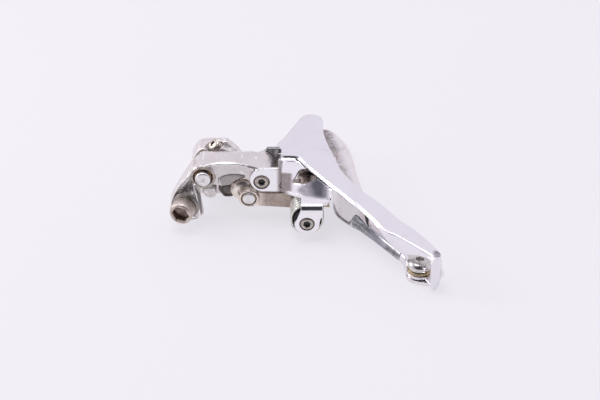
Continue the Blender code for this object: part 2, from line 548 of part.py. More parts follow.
def build():
    clear_scene()
    paint = material("silver_paint", (0.72, 0.69, 0.70), 0.35, 0.38)
    chrome = material("chromed_steel", (0.80, 0.79, 0.82), 1.0, 0.10)
    nickel = material("worn_nickel", (0.55, 0.46, 0.38), 0.9, 0.32)
    steel = material("grey_steel", (0.45, 0.43, 0.41), 0.9, 0.35)
    pin_steel = material("pin_steel", (0.75, 0.73, 0.72), 0.9, 0.22)
    spring_steel = material("spring_steel", (0.58, 0.57, 0.55), 0.9, 0.28)
    dark = material("dark_insert", (0.12, 0.12, 0.12), 0.0, 0.45)
    plastic = material("black_nylon", (0.05, 0.05, 0.05), 0.0, 0.5)
    bronze = material("bush_bronze", (0.50, 0.36, 0.20), 0.9, 0.4)
    brass = material("brown_washer", (0.52, 0.40, 0.22), 0.9, 0.35)

    body = Body("body_frame", FOOTPRINT_CENTRE)
    outer = Body("outer_link_axis", (OUTER_BODY_PIVOT[0], 0, OUTER_BODY_PIVOT[1]), body)
    inner = Body("inner_link_axis", (INNER_BODY_PIVOT[0], 0, INNER_BODY_PIVOT[1]), body)
    cage = Body("cage_axis", (INNER_CAGE_PIVOT[0], 0, INNER_CAGE_PIVOT[1]), inner)
    clamp = Body("clamp_axis", CLAMP_SEAT, outer)
    low_screw = Body("low_limit_axis", LOW_SCREW_MOUTH, body)
    high_screw = Body("high_limit_axis", HIGH_SCREW_MOUTH, body)

    body_casting(body, paint)
    stop_insert(body, dark)
    body_pin(body, "outer_body_pin", OUTER_BODY_PIVOT, -13.4, 2.7, pin_steel)
    body_pin(body, "inner_body_pin", INNER_BODY_PIVOT, -12.0, 2.25, pin_steel)
    frame_fixing(body, steel, spring_steel)
    limit_screw(low_screw, "low_limit_screw", LOW_SCREW_MOUTH, LOW_SCREW_AXIS, steel)
    limit_screw(high_screw, "high_limit_screw", HIGH_SCREW_MOUTH, HIGH_SCREW_AXIS, steel)

    outer_link(outer, paint)
    bush(outer, "outer_body_bush", OUTER_BODY_PIVOT, -10.6, LINK_FAR, PIN_RADIUS, bronze)
    bush(outer, "outer_cage_bush", OUTER_CAGE_PIVOT, -10.8, LINK_BARREL_END, SCREW_RADIUS, bronze)
    cable_clamp(clamp, steel, spring_steel)

    inner_link(inner, nickel)
    bush(inner, "inner_body_bush", INNER_BODY_PIVOT, -10.2, LINK_BARREL_END - 0.1, PIN_RADIUS, bronze)
    bush(inner, "inner_cage_bush", INNER_CAGE_PIVOT, -12.4, LOWER_EAR_FAR - 0.4, SCREW_RADIUS, bronze)
    return_spring(inner, spring_steel, plastic)

    cage_bracket(cage, chrome)
    cage_outer_plate(cage, chrome)
    cage_inner_plate(cage, chrome)
    rivets(cage, chrome)
    near = (CLEVIS_NEAR - 0.1, LOWER_EAR_NEAR - 0.2)
    far = (CLEVIS_FAR + SHEET, LOWER_EAR_FAR + SHEET)
    cage_screw(cage, "outer_cage_screw", OUTER_CAGE_PIVOT, near[0], far[0], 2.5, steel)
    cage_screw(cage, "inner_cage_screw", INNER_CAGE_PIVOT, near[1], far[1], 2.3, steel)
    tail_fixing(cage, steel, brass)


build()
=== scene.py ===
"""Front derailleur: finished surfaces, materials, light and camera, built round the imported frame.

Shapes are drawn in millimetres on the axes of the CAD source: +X down the bicycle, +Y forwards
and +Z outwards. The pivots come from the frame's joints, and place() turns a drawn point into the frame.
"""

import json
import math

import bmesh
import bpy
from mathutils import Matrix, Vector


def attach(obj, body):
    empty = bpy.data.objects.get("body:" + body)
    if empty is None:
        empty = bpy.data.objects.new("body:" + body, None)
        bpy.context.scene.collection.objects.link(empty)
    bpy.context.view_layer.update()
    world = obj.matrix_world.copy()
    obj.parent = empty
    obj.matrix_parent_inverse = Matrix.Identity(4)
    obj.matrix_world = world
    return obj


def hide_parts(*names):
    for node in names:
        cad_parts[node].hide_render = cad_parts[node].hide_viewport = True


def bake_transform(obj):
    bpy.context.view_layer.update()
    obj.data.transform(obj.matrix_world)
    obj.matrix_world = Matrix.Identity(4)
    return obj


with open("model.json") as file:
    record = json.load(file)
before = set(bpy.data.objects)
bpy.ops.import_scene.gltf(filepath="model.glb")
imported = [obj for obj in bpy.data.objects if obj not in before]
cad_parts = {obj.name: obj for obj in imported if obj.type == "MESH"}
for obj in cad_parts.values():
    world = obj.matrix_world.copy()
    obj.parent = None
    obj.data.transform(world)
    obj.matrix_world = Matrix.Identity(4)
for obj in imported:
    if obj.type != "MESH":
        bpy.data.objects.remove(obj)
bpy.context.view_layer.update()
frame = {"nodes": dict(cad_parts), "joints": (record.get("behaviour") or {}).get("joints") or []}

MM = 0.001
JOINTS = {joint["name"]: joint for joint in frame["joints"]}

# The drawing's origin in the frame, from the outer link's pivot in the drawing.
DRAWN_PIVOT = Vector((-33.6, 0.0, 17.6))
ORIGIN = Vector(JOINTS["outer_link_swing"]["pos_m"]) - DRAWN_PIVOT * MM


def place(point):
    return ORIGIN + Vector(point) * MM


def drawn(joint):
    """A hinge's (x, z) in the drawing."""
    point = (Vector(JOINTS[joint]["pos_m"]) - ORIGIN) / MM
    return (point.x, point.z)


OUTER_BODY = drawn("outer_link_swing")
INNER_BODY = drawn("inner_link_swing")
INNER_CAGE = drawn("cage_swing")
OUTER_CAGE = (OUTER_BODY[0] + INNER_CAGE[0] - INNER_BODY[0], OUTER_BODY[1] + INNER_CAGE[1] - INNER_BODY[1])
CLAMP_AXIS = Vector(JOINTS["clamp_slide"]["axis"])
LOW_SCREW_AXIS = Vector(JOINTS["low_limit_slide"]["axis"])
HIGH_SCREW_AXIS = Vector(JOINTS["high_limit_slide"]["axis"])

# Drawn places that several pieces share: screw mouths, the clamp's seat, axes, and rivet and hole sizes.
LOW_MOUTH = (-30.0, 3.6, 21.0)
HIGH_MOUTH = (-36.9, 10.4, 11.8)
CLAMP_SEAT = (-40.1, -15.2, 7.7)
FRAME_BOLT_AXIS = (-29.0, 6.0)
RIVET_STATIONS = (3.2, 7.4)
RIVET_HEIGHT = 9.0
SHEET = 1.2
TAIL_AXIS = (39.8, -44.2)
PIN_HOLE = 2.6


# ---- shapes

def arc(centre, radius, start, end, steps):
    points = []
    for step in range(steps + 1):
        angle = math.radians(start + (end - start) * step / steps)
        points.append((centre[0] + radius * math.cos(angle), centre[1] + radius * math.sin(angle)))
    return points


def rounded(outline, radius, steps=4):
    """A closed outline with its corners rounded."""
    points = []
    count = len(outline)
    for index in range(count):
        before, corner, after = (Vector(outline[(index + step) % count]) for step in (-1, 0, 1))
        reach = min(radius, (before - corner).length * 0.45, (after - corner).length * 0.45)
        start = corner + (before - corner).normalized() * reach
        end = corner + (after - corner).normalized() * reach
        for step in range(steps + 1):
            t = step / steps
            point = start * (1 - t) ** 2 + corner * 2 * t * (1 - t) + end * t ** 2
            points.append(tuple(point))
    return points


def eased(rows, rounds=2):
    """Rows of numbers with their corners cut again and again, so that a path turns smoothly."""
    for _ in range(rounds):
        cut = [rows[0]]
        for one, other in zip(rows, rows[1:]):
            cut.append(tuple(a * 0.75 + b * 0.25 for a, b in zip(one, other)))
            cut.append(tuple(a * 0.25 + b * 0.75 for a, b in zip(one, other)))
        cut.append(rows[-1])
        rows = cut
    return rows


def loft(rings, closed=False):
    """A solid through rings of points, with flat ends unless it closes on itself."""
    shape = bmesh.new()
    loops = [[shape.verts.new(point) for point in ring] for ring in rings]
    pairs = list(zip(loops, loops[1:]))
    if closed:
        pairs.append((loops[-1], loops[0]))
    else:
        shape.faces.new(loops[0])
        shape.faces.new(loops[-1])
    for one, other in pairs:
        count = len(one)
        for index in range(count):
            after = (index + 1) % count
            shape.faces.new((one[index], one[after], other[after], other[index]))
    bmesh.ops.recalc_face_normals(shape, faces=shape.faces)
    return shape


def spread(across, a, b, along):
    if across == "x":
        return (along, a, b)
    if across == "y":
        return (a, along, b)
    return (a, b, along)


def inset(outline, distance):
    """The outline moved inwards, corner by corner. The outline runs either way round."""
    area = 0.0
    count = len(outline)
    for index in range(count):
        x, y = outline[index]
        after = outline[(index + 1) % count]
        area += x * after[1] - after[0] * y
    turn = 1.0 if area > 0 else -1.0
    moved = []
    for index in range(count):
        corner = Vector(outline[index])
        one = (corner - Vector(outline[index - 1])).normalized()
        other = (Vector(outline[(index + 1) % count]) - corner).normalized()
        normal = Vector((-(one.y + other.y), one.x + other.x)) * turn
        if normal.length < 1e-6:
            normal = Vector((-one.y, one.x)) * turn
        moved.append(tuple(corner + normal.normalized() * distance))
    return moved


def prism(outline, across, low, high, low_chamfer=0.0, high_chamfer=0.0):
    """The outline extruded along an axis, with a chamfer at either end."""
    levels = []
    if low_chamfer:
        levels.append((low, inset(outline, low_chamfer)))
    levels.append((low + low_chamfer, outline))
    levels.append((high - high_chamfer, outline))
    if high_chamfer:
        levels.append((high, inset(outline, high_chamfer)))
    return loft([[spread(across, a, b, along) for a, b in points] for along, points in levels])


def hexagon(flats, turn=0.0):
    """A radius that changes with the angle, so that a turned ring is a hexagon."""
    shift = math.pi / 6 + math.radians(turn)
    return lambda angle: flats / 2 / math.cos((angle + shift) % (math.pi / 3) - math.pi / 6)


def turned(start, axis, profile, sides=48, hollow=False):
    """A turned solid. A profile's radius is a number, or a function of the angle."""
    axis = Vector(axis).normalized()
    across = axis.orthogonal().normalized()
    beside = axis.cross(across)
    rings = []
    for along, radius in profile:
        ring = []
        for side in range(sides):
            angle = 2 * math.pi * side / sides
            reach = radius(angle) if callable(radius) else radius
            out = across * math.cos(angle) + beside * math.sin(angle)
            ring.append(Vector(start) + axis * along + out * reach)
        rings.append(ring)
    return loft(rings, closed=hollow)


def along_y(pivot, low, profile, sides=48, hollow=False):
    """A turned solid along +Y round a pivot, whose profile starts at low."""
    return turned((pivot[0], low, pivot[1]), (0, 1, 0), profile, sides, hollow)


def cylinder_y(pivot, low, high, radius):
    return along_y(pivot, low, [(0, radius), (high - low, radius)], 40)


def ball(centre, radii, rows=14, sides=28):
    rings = []
    for row in range(1, rows):
        angle = math.pi * row / rows
        ring = []
        for side in range(sides):
            turn = 2 * math.pi * side / sides
            x = centre[0] + radii[0] * math.sin(angle) * math.cos(turn)
            y = centre[1] + radii[1] * math.sin(angle) * math.sin(turn)
            ring.append((x, y, centre[2] + radii[2] * math.cos(angle)))
        rings.append(ring)
    return loft(rings)


def with_sides(stations):
    """Each station of a path with the unit vector to its left, in the plane of its first two numbers."""
    pairs = []
    for index, station in enumerate(stations):
        before = stations[max(index - 1, 0)]
        after = stations[min(index + 1, len(stations) - 1)]
        run = Vector((after[0] - before[0], after[1] - before[1])).normalized()
        pairs.append((station, Vector((-run.y, run.x))))
    return pairs


def strip(stations, thickness):
    """An upright wall along stations of (x, y, low, high)."""
    rings = []
    for (x, y, low, high), side in with_sides(stations):
        side = side * thickness / 2
        near = (x + side.x, y + side.y)
        far = (x - side.x, y - side.y)
        rings.append([(*near, low), (*near, high), (*far, high), (*far, low)])
    return loft(rings)


def tube(points, radius, sides=14):
    """A round bar along points."""
    rings = []
    side = None
    for index, point in enumerate(points):
        before = Vector(points[max(index - 1, 0)])
        after = Vector(points[min(index + 1, len(points) - 1)])
        run = (after - before).normalized()
        side = run.orthogonal().normalized() if side is None else (side - run * side.dot(run)).normalized()
        beside = run.cross(side)
        ring = []
        for step in range(sides):
            angle = 2 * math.pi * step / sides
            ring.append(Vector(point) + (side * math.cos(angle) + beside * math.sin(angle)) * radius)
        rings.append(ring)
    return loft(rings)


def threaded(start, axis, low, high, radius, pitch, depth):
    """A rod with a helical thread between two places along its axis."""
    rows = int((high - low) / pitch * 8)

    def thread_at(along):
        taper = min(1.0, (high - along) / pitch + 0.25, (along - low) / pitch + 0.25)

        def reach(angle):
            phase = (along / pitch - angle / (2 * math.pi)) % 1.0
            return radius - depth + depth * (1 - abs(2 * phase - 1)) * taper
        return reach

    places = [low + (high - low) * row / rows for row in range(rows + 1)]
    return turned(start, axis, [(along, thread_at(along)) for along in places], 32)


def joined(shapes):
    """Several closed shapes in one mesh."""
    whole = bmesh.new()
    for shape in shapes:
        mesh = bpy.data.meshes.new("part")
        shape.to_mesh(mesh)
        shape.free()
        whole.from_mesh(mesh)
        bpy.data.meshes.remove(mesh)
    return whole


# ---- pieces

def linked(name, data):
    thing = bpy.data.objects.new(name, data)
    bpy.context.scene.collection.objects.link(thing)
    return thing


def raw(name, shape):
    """A drawn shape as an object in the frame, in metres."""
    for vert in shape.verts:
        vert.co = place(vert.co)
    mesh = bpy.data.meshes.new(name)
    shape.to_mesh(mesh)
    shape.free()
    return linked(name, mesh)


def modify(piece, kind, **values):
    modifier = piece.modifiers.new(kind.lower(), kind)
    for name, value in values.items():
        setattr(modifier, name, value)


def settle(piece):
    """Applies a piece's modifiers to its mesh."""
    bpy.context.view_layer.update()
    evaluated = piece.evaluated_get(bpy.context.evaluated_depsgraph_get())
    mesh = bpy.data.meshes.new_from_object(evaluated)
    piece.modifiers.clear()
    piece.data = mesh


def weld(piece):
    """Merges the points of a piece that coincide."""
    shape = bmesh.new()
    shape.from_mesh(piece.data)
    bmesh.ops.remove_doubles(shape, verts=shape.verts, dist=1e-7)
    bmesh.ops.recalc_face_normals(shape, faces=shape.faces)
    shape.to_mesh(piece.data)
    shape.free()


def combine(piece, add, cut):
    """Joins shapes to a piece and cuts others from it."""
    tools = []
    for operation, shapes in (("UNION", add), ("DIFFERENCE", cut)):
        for other in shapes:
            tool = raw(f"{piece.name}_tool", other)
            modify(piece, "BOOLEAN", operation=operation, object=tool, use_self=operation == "UNION")
            tools.append(tool)
    settle(piece)
    for tool in tools:
        bpy.data.objects.remove(tool)


def soften(piece, voxel, rounds):
    """Rounds all edges of a cast or pressed piece: a fine remesh, smoothed and thinned."""
    modify(piece, "REMESH", mode="VOXEL", voxel_size=voxel * MM)
    modify(piece, "SMOOTH", factor=0.5, iterations=rounds)
    modify(piece, "DECIMATE", ratio=0.6)
    settle(piece)
    piece.data.shade_smooth()


def edged(piece, width, segments=2, angle=40):
    """Narrow rounded edges on a machined or sheet piece."""
    limit = math.radians(angle)
    modify(piece, "BEVEL", width=width * MM, segments=segments, limit_method="ANGLE", angle_limit=limit)
    settle(piece)
    piece.data.shade_smooth()
    piece.data.set_sharp_from_angle(angle=math.radians(angle + 5))


def finish(piece, body, slot, look, *nodes):
    """Gives a piece its material and its body, and says which CAD nodes it stands for."""
    piece.data.materials.clear()
    piece.data.materials.append(look)
    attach(piece, body)
    if nodes:
        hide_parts(*nodes)


def cast(node, shape, add, cut, voxel, rounds, body, slot, look):
    """A cast or pressed piece of several shapes, which stands for a CAD node."""
    piece = raw(f"{node}_skin", shape)
    combine(piece, add, cut)
    soften(piece, voxel, rounds)
    finish(piece, body, slot, look, node)


def machined(name, shape, width, body, slot, look, segments=2, angle=40):
    """A piece of one shape with narrow rounded edges. Under a CAD node's name, it stands for that node."""
    nodes = [name] if name in frame["nodes"] else []
    piece = raw(f"{name}_skin" if nodes else name, shape)
    edged(piece, width, segments, angle)
    finish(piece, body, slot, look, *nodes)


def bead(name, shape, body, slot, look):
    """A smooth round bar or bead."""
    piece = raw(name, shape)
    piece.data.shade_smooth()
    finish(piece, body, slot, look)


# ---- materials

def add_node(tree, kind, inputs, output, **settings):
    """Makes a shader node, whose inputs are values or other nodes' outputs, and returns its output."""
    node = tree.nodes.new(f"ShaderNode{kind}")
    for name, value in settings.items():
        setattr(node, name, value)
    for name, value in inputs.items():
        socket = node.inputs[name]
        if isinstance(value, bpy.types.NodeSocket):
            tree.links.new(value, socket)
        elif socket.type == "RGBA":
            socket.default_value = (*value, 1.0)
        else:
            socket.default_value = value
    return node.outputs[output]


class Nodes:
    """A short way to write a material's nodes."""

    def __init__(self, name):
        self.material = bpy.data.materials.new(name)
        self.material.use_nodes = True
        self.tree = self.material.node_tree
        self.shader = self.tree.nodes["Principled BSDF"]
        self.place = self.add("TexCoord", {}, "Object")

    def add(self, kind, inputs, output, **settings):
        return add_node(self.tree, kind, inputs, output, **settings)

    def stretched(self, scale):
        return self.add("Mapping", {"Vector": self.place, "Scale": scale}, "Vector")

    def noise(self, per_mm, detail=4.0, roughness=0.6, where=None):
        inputs = {"Vector": where or self.place, "Scale": per_mm / MM}
        inputs |= {"Detail": detail, "Roughness": roughness}
        return self.add("TexNoise", inputs, "Fac")

    def ramp(self, value, low, high, start=0.0, end=1.0):
        inputs = {"Value": value, "From Min": low, "From Max": high, "To Min": start, "To Max": end}
        return self.add("MapRange", inputs, "Result")

    def times(self, one, other):
        return self.add("Math", {0: one, 1: other}, "Value", operation="MULTIPLY")

    def mix(self, share, one, other):
        return self.add("Mix", {"Factor": share, 6: one, 7: other}, 2, data_type="RGBA")

    def marked(self, where, share, base, colour):
        """The base with another colour where a mask says, at a share of its strength."""
        return self.mix(self.times(where, share), base, colour)

    def bump(self, height, strength, distance_mm, before=None):
        inputs = {"Height": height, "Strength": strength, "Distance": distance_mm * MM}
        if before:
            inputs["Normal"] = before
        return self.add("Bump", inputs, "Normal")

    def side_of(self, one, other, blur):
        """1 on the left of the line from one drawn (x, y) to the other, 0 on its right."""
        run = (Vector(other) - Vector(one)).normalized()
        start = place((*one, 0.0))
        inputs = {0: self.place, 1: (start.x, start.y, 0.0)}
        moved = self.add("VectorMath", inputs, "Vector", operation="SUBTRACT")
        inputs = {0: moved, 1: (-run.y, run.x, 0.0)}
        across = self.add("VectorMath", inputs, "Value", operation="DOT_PRODUCT")
        return self.ramp(across, -blur * MM, blur * MM)

    def within(self, corners, blur):
        """1 inside a convex drawn outline that runs anticlockwise."""
        inside = None
        for one, other in zip(corners, corners[1:] + corners[:1]):
            side = self.side_of(one, other, blur)
            inside = side if inside is None else self.times(inside, side)
        return inside

    def edges(self, low=0.51, high=0.56):
        """How far a place stands out, for wear along edges."""
        return self.ramp(self.add("NewGeometry", {}, "Pointiness"), low, high)

    def done(self, colour, roughness, normal=None, metallic=1.0):
        self.tree.links.new(colour, self.shader.inputs["Base Color"])
        self.tree.links.new(roughness, self.shader.inputs["Roughness"])
        if normal:
            self.tree.links.new(normal, self.shader.inputs["Normal"])
        self.shader.inputs["Metallic"].default_value = metallic
        return self.material


def silver_paint():
    n = Nodes("silver_paint")
    cloud = n.noise(0.12, 3.0)
    grain = n.noise(7.0, 3.0)
    stain = n.ramp(n.noise(0.45, 5.0, 0.7), 0.56, 0.74)
    scuff = n.ramp(n.noise(0.35, 6.0, 0.75, n.stretched((0.4, 1.0, 1.6))), 0.60, 0.72)
    base = n.mix(n.ramp(cloud, 0.35, 0.65), (0.70, 0.66, 0.65), (0.77, 0.73, 0.72))
    marked = n.marked(stain, 0.30, base, (0.52, 0.45, 0.39))
    scuffed = n.marked(scuff, 0.25, marked, (0.70, 0.67, 0.66))
    worn = n.marked(n.edges(0.505, 0.53), 0.85, scuffed, (0.98, 0.96, 0.94))
    rough = n.ramp(n.noise(0.8, 4.0), 0.3, 0.7, 0.24, 0.36)
    return n.done(worn, rough, n.bump(grain, 0.05, 0.03), 0.78)


def cast_pocket():
    n = Nodes("cast_pocket")
    grain = n.noise(3.2, 6.0, 0.75)
    base = n.mix(n.ramp(grain, 0.38, 0.62), (0.38, 0.35, 0.34), (0.70, 0.66, 0.64))
    normal = n.bump(grain, 0.7, 0.12)
    return n.done(base, n.ramp(grain, 0.3, 0.7, 0.45, 0.65), normal, 0.5)


def chromed_steel(name, tint=(0.86, 0.845, 0.875), stain_colour=(0.62, 0.52, 0.47), stained=0.25, zones=()):
    """Bright chrome with pits, stains and fine scratches.

    Zones are areas of another colour: corners, a colour, its most and least share, and the edge's blur. On
    the bracket and the outer plate's corner they are painted shade and painted dark reflections; on the
    inner plate, darker and stained patches.
    """
    n = Nodes(name)
    cloud = n.noise(0.09, 3.0)
    stain = n.ramp(n.noise(0.22, 6.0, 0.7), 0.55, 0.75)
    specks = n.ramp(n.noise(2.6, 3.0, 0.7), 0.68, 0.78)
    scratches = n.noise(0.5, 6.0, 0.8, n.stretched((1.0, 9.0, 1.0)))
    base = n.mix(n.ramp(cloud, 0.35, 0.65), tint, tuple(channel * 0.97 for channel in tint))
    marked = n.marked(stain, stained, base, stain_colour)
    for corners, colour, share, least, blur in zones:
        ragged = n.ramp(n.noise(0.55, 5.0, 0.75), 0.35, 0.6, least, share)
        marked = n.marked(n.within(corners, blur), ragged, marked, colour)
    pitted = n.marked(specks, 0.30, marked, (0.35, 0.31, 0.29))
    rough = n.ramp(n.noise(0.35, 5.0, 0.7), 0.3, 0.7, 0.15, 0.26)
    normal = n.bump(scratches, 0.05, 0.03, n.bump(n.noise(0.16, 2.0), 0.08, 0.5))
    return n.done(pitted, rough, normal, 1.0)


def dark_reflection_chrome():
    """Chrome painted dark as a dark reflection and shade, with streaks along the tail and lighter edges."""
    n = Nodes("chrome_painted_dark_reflection")
    inputs = {"Vector": n.place, "Rotation": (0.0, 0.0, math.radians(-54)), "Scale": (9.0, 1.0, 1.0)}
    along = n.add("Mapping", inputs, "Vector", vector_type="TEXTURE")
    streaks = n.noise(0.8, 4.0, 0.6, along)
    cloud = n.noise(0.25, 4.0, 0.6)
    base = n.mix(n.ramp(streaks, 0.40, 0.60), (0.16, 0.16, 0.175), (0.52, 0.52, 0.56))
    marked = n.mix(n.ramp(cloud, 0.50, 0.62, 0.0, 0.6), base, (0.12, 0.12, 0.125))
    worn = n.marked(n.edges(), 0.8, marked, (0.85, 0.84, 0.87))
    return n.done(worn, n.ramp(cloud, 0.3, 0.7, 0.18, 0.30), n.bump(streaks, 0.15, 0.05), 1.0)


def worn_nickel():
    """Yellowed nickel with dark spots and worn edges. The barrel's pale base is painted light standing in
    for its glints, and the bar is painted darker as shade.
    """
    n = Nodes("worn_nickel")
    cloud = n.noise(0.35, 5.0, 0.7)
    grain = n.noise(3.0, 4.0, 0.7)
    base = n.mix(n.ramp(cloud, 0.35, 0.62), (0.84, 0.73, 0.64), (0.97, 0.90, 0.82))
    # The bar's darker tone, against the barrel's pale one: painted shade.
    bar = n.within([(-13.6, -14.0), (6.0, -14.0), (6.0, 0.0), (-13.6, 0.0)], 1.6)
    dark = n.mix(n.ramp(cloud, 0.35, 0.62), (0.30, 0.235, 0.20), (0.46, 0.385, 0.335))
    toned = n.marked(bar, 0.92, base, dark)
    spots = n.ramp(n.noise(1.1, 2.0, 0.5), 0.67, 0.72)
    marked = n.marked(spots, 0.75, toned, (0.16, 0.11, 0.08))
    worn = n.marked(n.edges(), 0.5, marked, (0.85, 0.78, 0.70))
    rough = n.ramp(cloud, 0.3, 0.7, 0.22, 0.36)
    return n.done(worn, rough, n.bump(grain, 0.15, 0.06), 0.9)


def steel(name, tone, dirt, low=0.22, high=0.40, grain_per_mm=2.5, bump=0.2):
    """Plain screw, pin and washer steel: a tone, with dirt in patches. The same recipe also makes the outer
    link's painted ridge highlight and its painted flank shade.
    """
    n = Nodes(name)
    cloud = n.noise(0.6, 5.0, 0.7)
    grain = n.noise(grain_per_mm, 4.0, 0.7)
    base = n.mix(n.ramp(cloud, 0.42, 0.66), tone, dirt)
    worn = n.marked(n.edges(), 0.5, base, tuple(min(1.0, channel * 1.5) for channel in tone))
    rough = n.ramp(grain, 0.3, 0.7, low, high)
    return n.done(worn, rough, n.bump(grain, bump, 0.05), 0.95)


def plastic(name, tone, roughness=0.45):
    n = Nodes(name)
    grain = n.noise(6.0, 3.0)
    cloud = n.noise(0.5, 4.0)
    light = tuple(channel * 1.7 + 0.01 for channel in tone)
    base = n.mix(n.ramp(cloud, 0.4, 0.7), tone, light)
    rough = n.ramp(grain, 0.3, 0.7, roughness - 0.08, roughness + 0.08)
    return n.done(base, rough, n.bump(grain, 0.15, 0.04), 0.0)


PAINT = silver_paint()
POCKET = cast_pocket()
CHROME = chromed_steel("chromed_steel")
# The outer plate's end corner, painted dark as a dark reflection on its facet.
PLATE_SHADED_CORNER = [(43.4, -51.4), (45.2, -51.4), (46.4, -49.6), (45, -48.2), (43.6, -48.2)]
PLATE = chromed_steel("plate_chrome_painted_dark_corner", zones=[(PLATE_SHADED_CORNER, (0.20, 0.18, 0.19), 0.9, 0.5, 0.5)])
INNER_ZONES = [
    ([(8.5, 9), (19.2, 9), (15.6, 28), (11.2, 46), (7, 46)], (0.36, 0.31, 0.30), 0.95, 0.15, 1.6),
    ([(8, 30), (14.5, 30), (11, 46), (7, 46)], (0.22, 0.19, 0.18), 0.8, 0.3, 1.6),
    ([(20, -17.5), (34, -37), (46, -46), (30, -15)], (0.58, 0.49, 0.48), 0.8, 0.3, 1),
]
STAINED = chromed_steel("stained_chrome", (0.86, 0.83, 0.84), (0.52, 0.40, 0.35), 0.85, INNER_ZONES)
# Dark chrome for the wall's foot and the tail's turned edge: painted dark reflection and shade.
DARK_REFLECTION_CHROME = dark_reflection_chrome()
# The bracket's zones, in order: a dark-grey facet beside the window and its darkest part, painted dark
# reflection; a brownish column, the web's painted shadow and reflection; the far ear, painted dark
# reflection; a thin dark line, painted shadow along the outer plate's left edge.
BRACKET_PAINTED_SHADE_ZONES = [
    ([(-1.2, -15.2), (1.2, -19), (9.5, -20.6), (9.6, -8), (6.3, -5.4)], (0.34, 0.32, 0.34), 0.9, 0.7, 0.8),
    ([(3, -11.6), (4.6, -19.4), (8.6, -20.2), (8.8, -8.6), (6.4, -5.8)], (0.1, 0.105, 0.12), 1, 0.9, 1.4),
    ([(-7.7, -16), (-2.9, -16), (-2.9, -5), (-7.7, -4.4)], (0.28, 0.235, 0.22), 0.95, 0.85, 0.6),
    ([(-17.6, 1.2), (-7, 1.2), (-7, 2.8), (-17.6, 2.8)], (0.20, 0.20, 0.20), 0.9, 0.7, 0.4),
    ([(2.2, 0.6), (11.2, -15), (11.6, -14), (3.6, 2)], (0.10, 0.10, 0.11), 0.9, 0.7, 0.4),
]
BRACKET = chromed_steel("bracket_chrome_painted_shade", (0.93, 0.92, 0.94), zones=BRACKET_PAINTED_SHADE_ZONES)
NICKEL = worn_nickel()
SCREW = steel("screw_steel", (0.50, 0.46, 0.42), (0.26, 0.21, 0.17), 0.30, 0.48)
SOCKET = steel("dirty_socket", (0.42, 0.33, 0.27), (0.22, 0.16, 0.12), 0.35, 0.6)
ROUGH_RING = steel("rough_ring", (0.56, 0.51, 0.47), (0.26, 0.22, 0.19), 0.35, 0.55, 4.0, 0.9)
# Near-white steel for the beads on the outer link's ridge and fin: a painted highlight.
RIDGE_HIGHLIGHT = steel("painted_ridge_highlight", (0.93, 0.91, 0.89), (0.80, 0.77, 0.74), 0.18, 0.30, 3.0, 0.1)
# Dark grey steel for a strip on the outer link's flank: painted shade.
FLANK_SHADE = steel("painted_flank_shade", (0.27, 0.26, 0.255), (0.17, 0.16, 0.155), 0.40, 0.60, 4.0, 0.5)
BOLT = steel("bolt_steel", (0.60, 0.54, 0.49), (0.34, 0.28, 0.24), 0.34, 0.50, 3.0, 0.5)
PIN = steel("pin_steel", (0.88, 0.86, 0.86), (0.72, 0.68, 0.66), 0.28, 0.42)
TAIL_STEEL = steel("tail_steel", (0.62, 0.61, 0.59), (0.40, 0.37, 0.33), 0.16, 0.30)
SPRING = steel("spring_steel", (0.66, 0.66, 0.62), (0.46, 0.44, 0.39), 0.20, 0.34)
WASHER = steel("washer_steel", (0.34, 0.32, 0.30), (0.18, 0.15, 0.13), 0.22, 0.42)
BRONZE = steel("bush_bronze", (0.55, 0.38, 0.20), (0.30, 0.19, 0.10), 0.3, 0.5)
BRASS = steel("brown_washer", (0.44, 0.36, 0.24), (0.24, 0.19, 0.13), 0.25, 0.45)
INSERT = plastic("dark_insert", (0.17, 0.155, 0.14))
# Black plastic for the spring's sleeve; it also lines the cage screws' sockets as painted shade.
NYLON_AND_SOCKET_SHADE = plastic("black_nylon", (0.02, 0.02, 0.02))


# ---- body

def body_casting():
    knuckle = arc(INNER_BODY, 4.2, 112, -62, 20)
    block = [(-38.4, 1.8), (-38.4, 16.2), (-36.9, 19.2), (-35.4, 20.9), (-32, 21.3), (-27.6, 21.4)]
    block += [(-24.0, 19.6), (-22.3, 17.2), (-22.3, 12.4), *knuckle, (-22.0, 1.8)]
    foot = [(-37.6, 0), (-37.6, 3), (-21, 3), (-21, 0)]
    pad = rounded([(-38.4, 1.2), (-38.4, 15.0), (-22.6, 15.0), (-20.2, 12.0), (-20.2, 1.2)], 2.0)
    tongue = [(-35, 8.9), (-34.4, 11), (-29.8, 11.2), (-29.4, 7.6), (-30.4, 6), (-32.6, 6.2)]
    fin = [(-28.6, 19), (-27.3, 22.2), (-25.6, 21.9), (-21.2, 17.4), (-22.6, 14), (-27, 15)]
    add = [
        prism(foot, "y", 4.0, 12.0),
        prism(pad, "y", 7.5, 13.0, high_chamfer=0.3),
        prism(rounded(tongue, 1.5), "y", -8.0, 2.3, low_chamfer=0.6),
        prism(rounded(fin, 0.8), "y", 4.2, 7.6, low_chamfer=0.4),
    ]
    cut = [
        cylinder_y(OUTER_BODY, 0.3, 7.3, 1.9),
        cylinder_y(INNER_BODY, 0.3, 7.3, 1.9),
        cylinder_y(FRAME_BOLT_AXIS, 4.2, 14.0, 2.7),
        turned(LOW_MOUTH, LOW_SCREW_AXIS, [(-9.0, 2.4), (-1.6, 2.4), (3.0, 3.4)]),
        turned(HIGH_MOUTH, HIGH_SCREW_AXIS, [(-9.0, 2.4), (3.0, 2.4)]),
    ]
    shape = prism(block, "y", 1.3, 8.5, low_chamfer=0.3)
    cast("body_casting", shape, add, cut, 0.2, 7, "body", "silver_paint", PAINT)


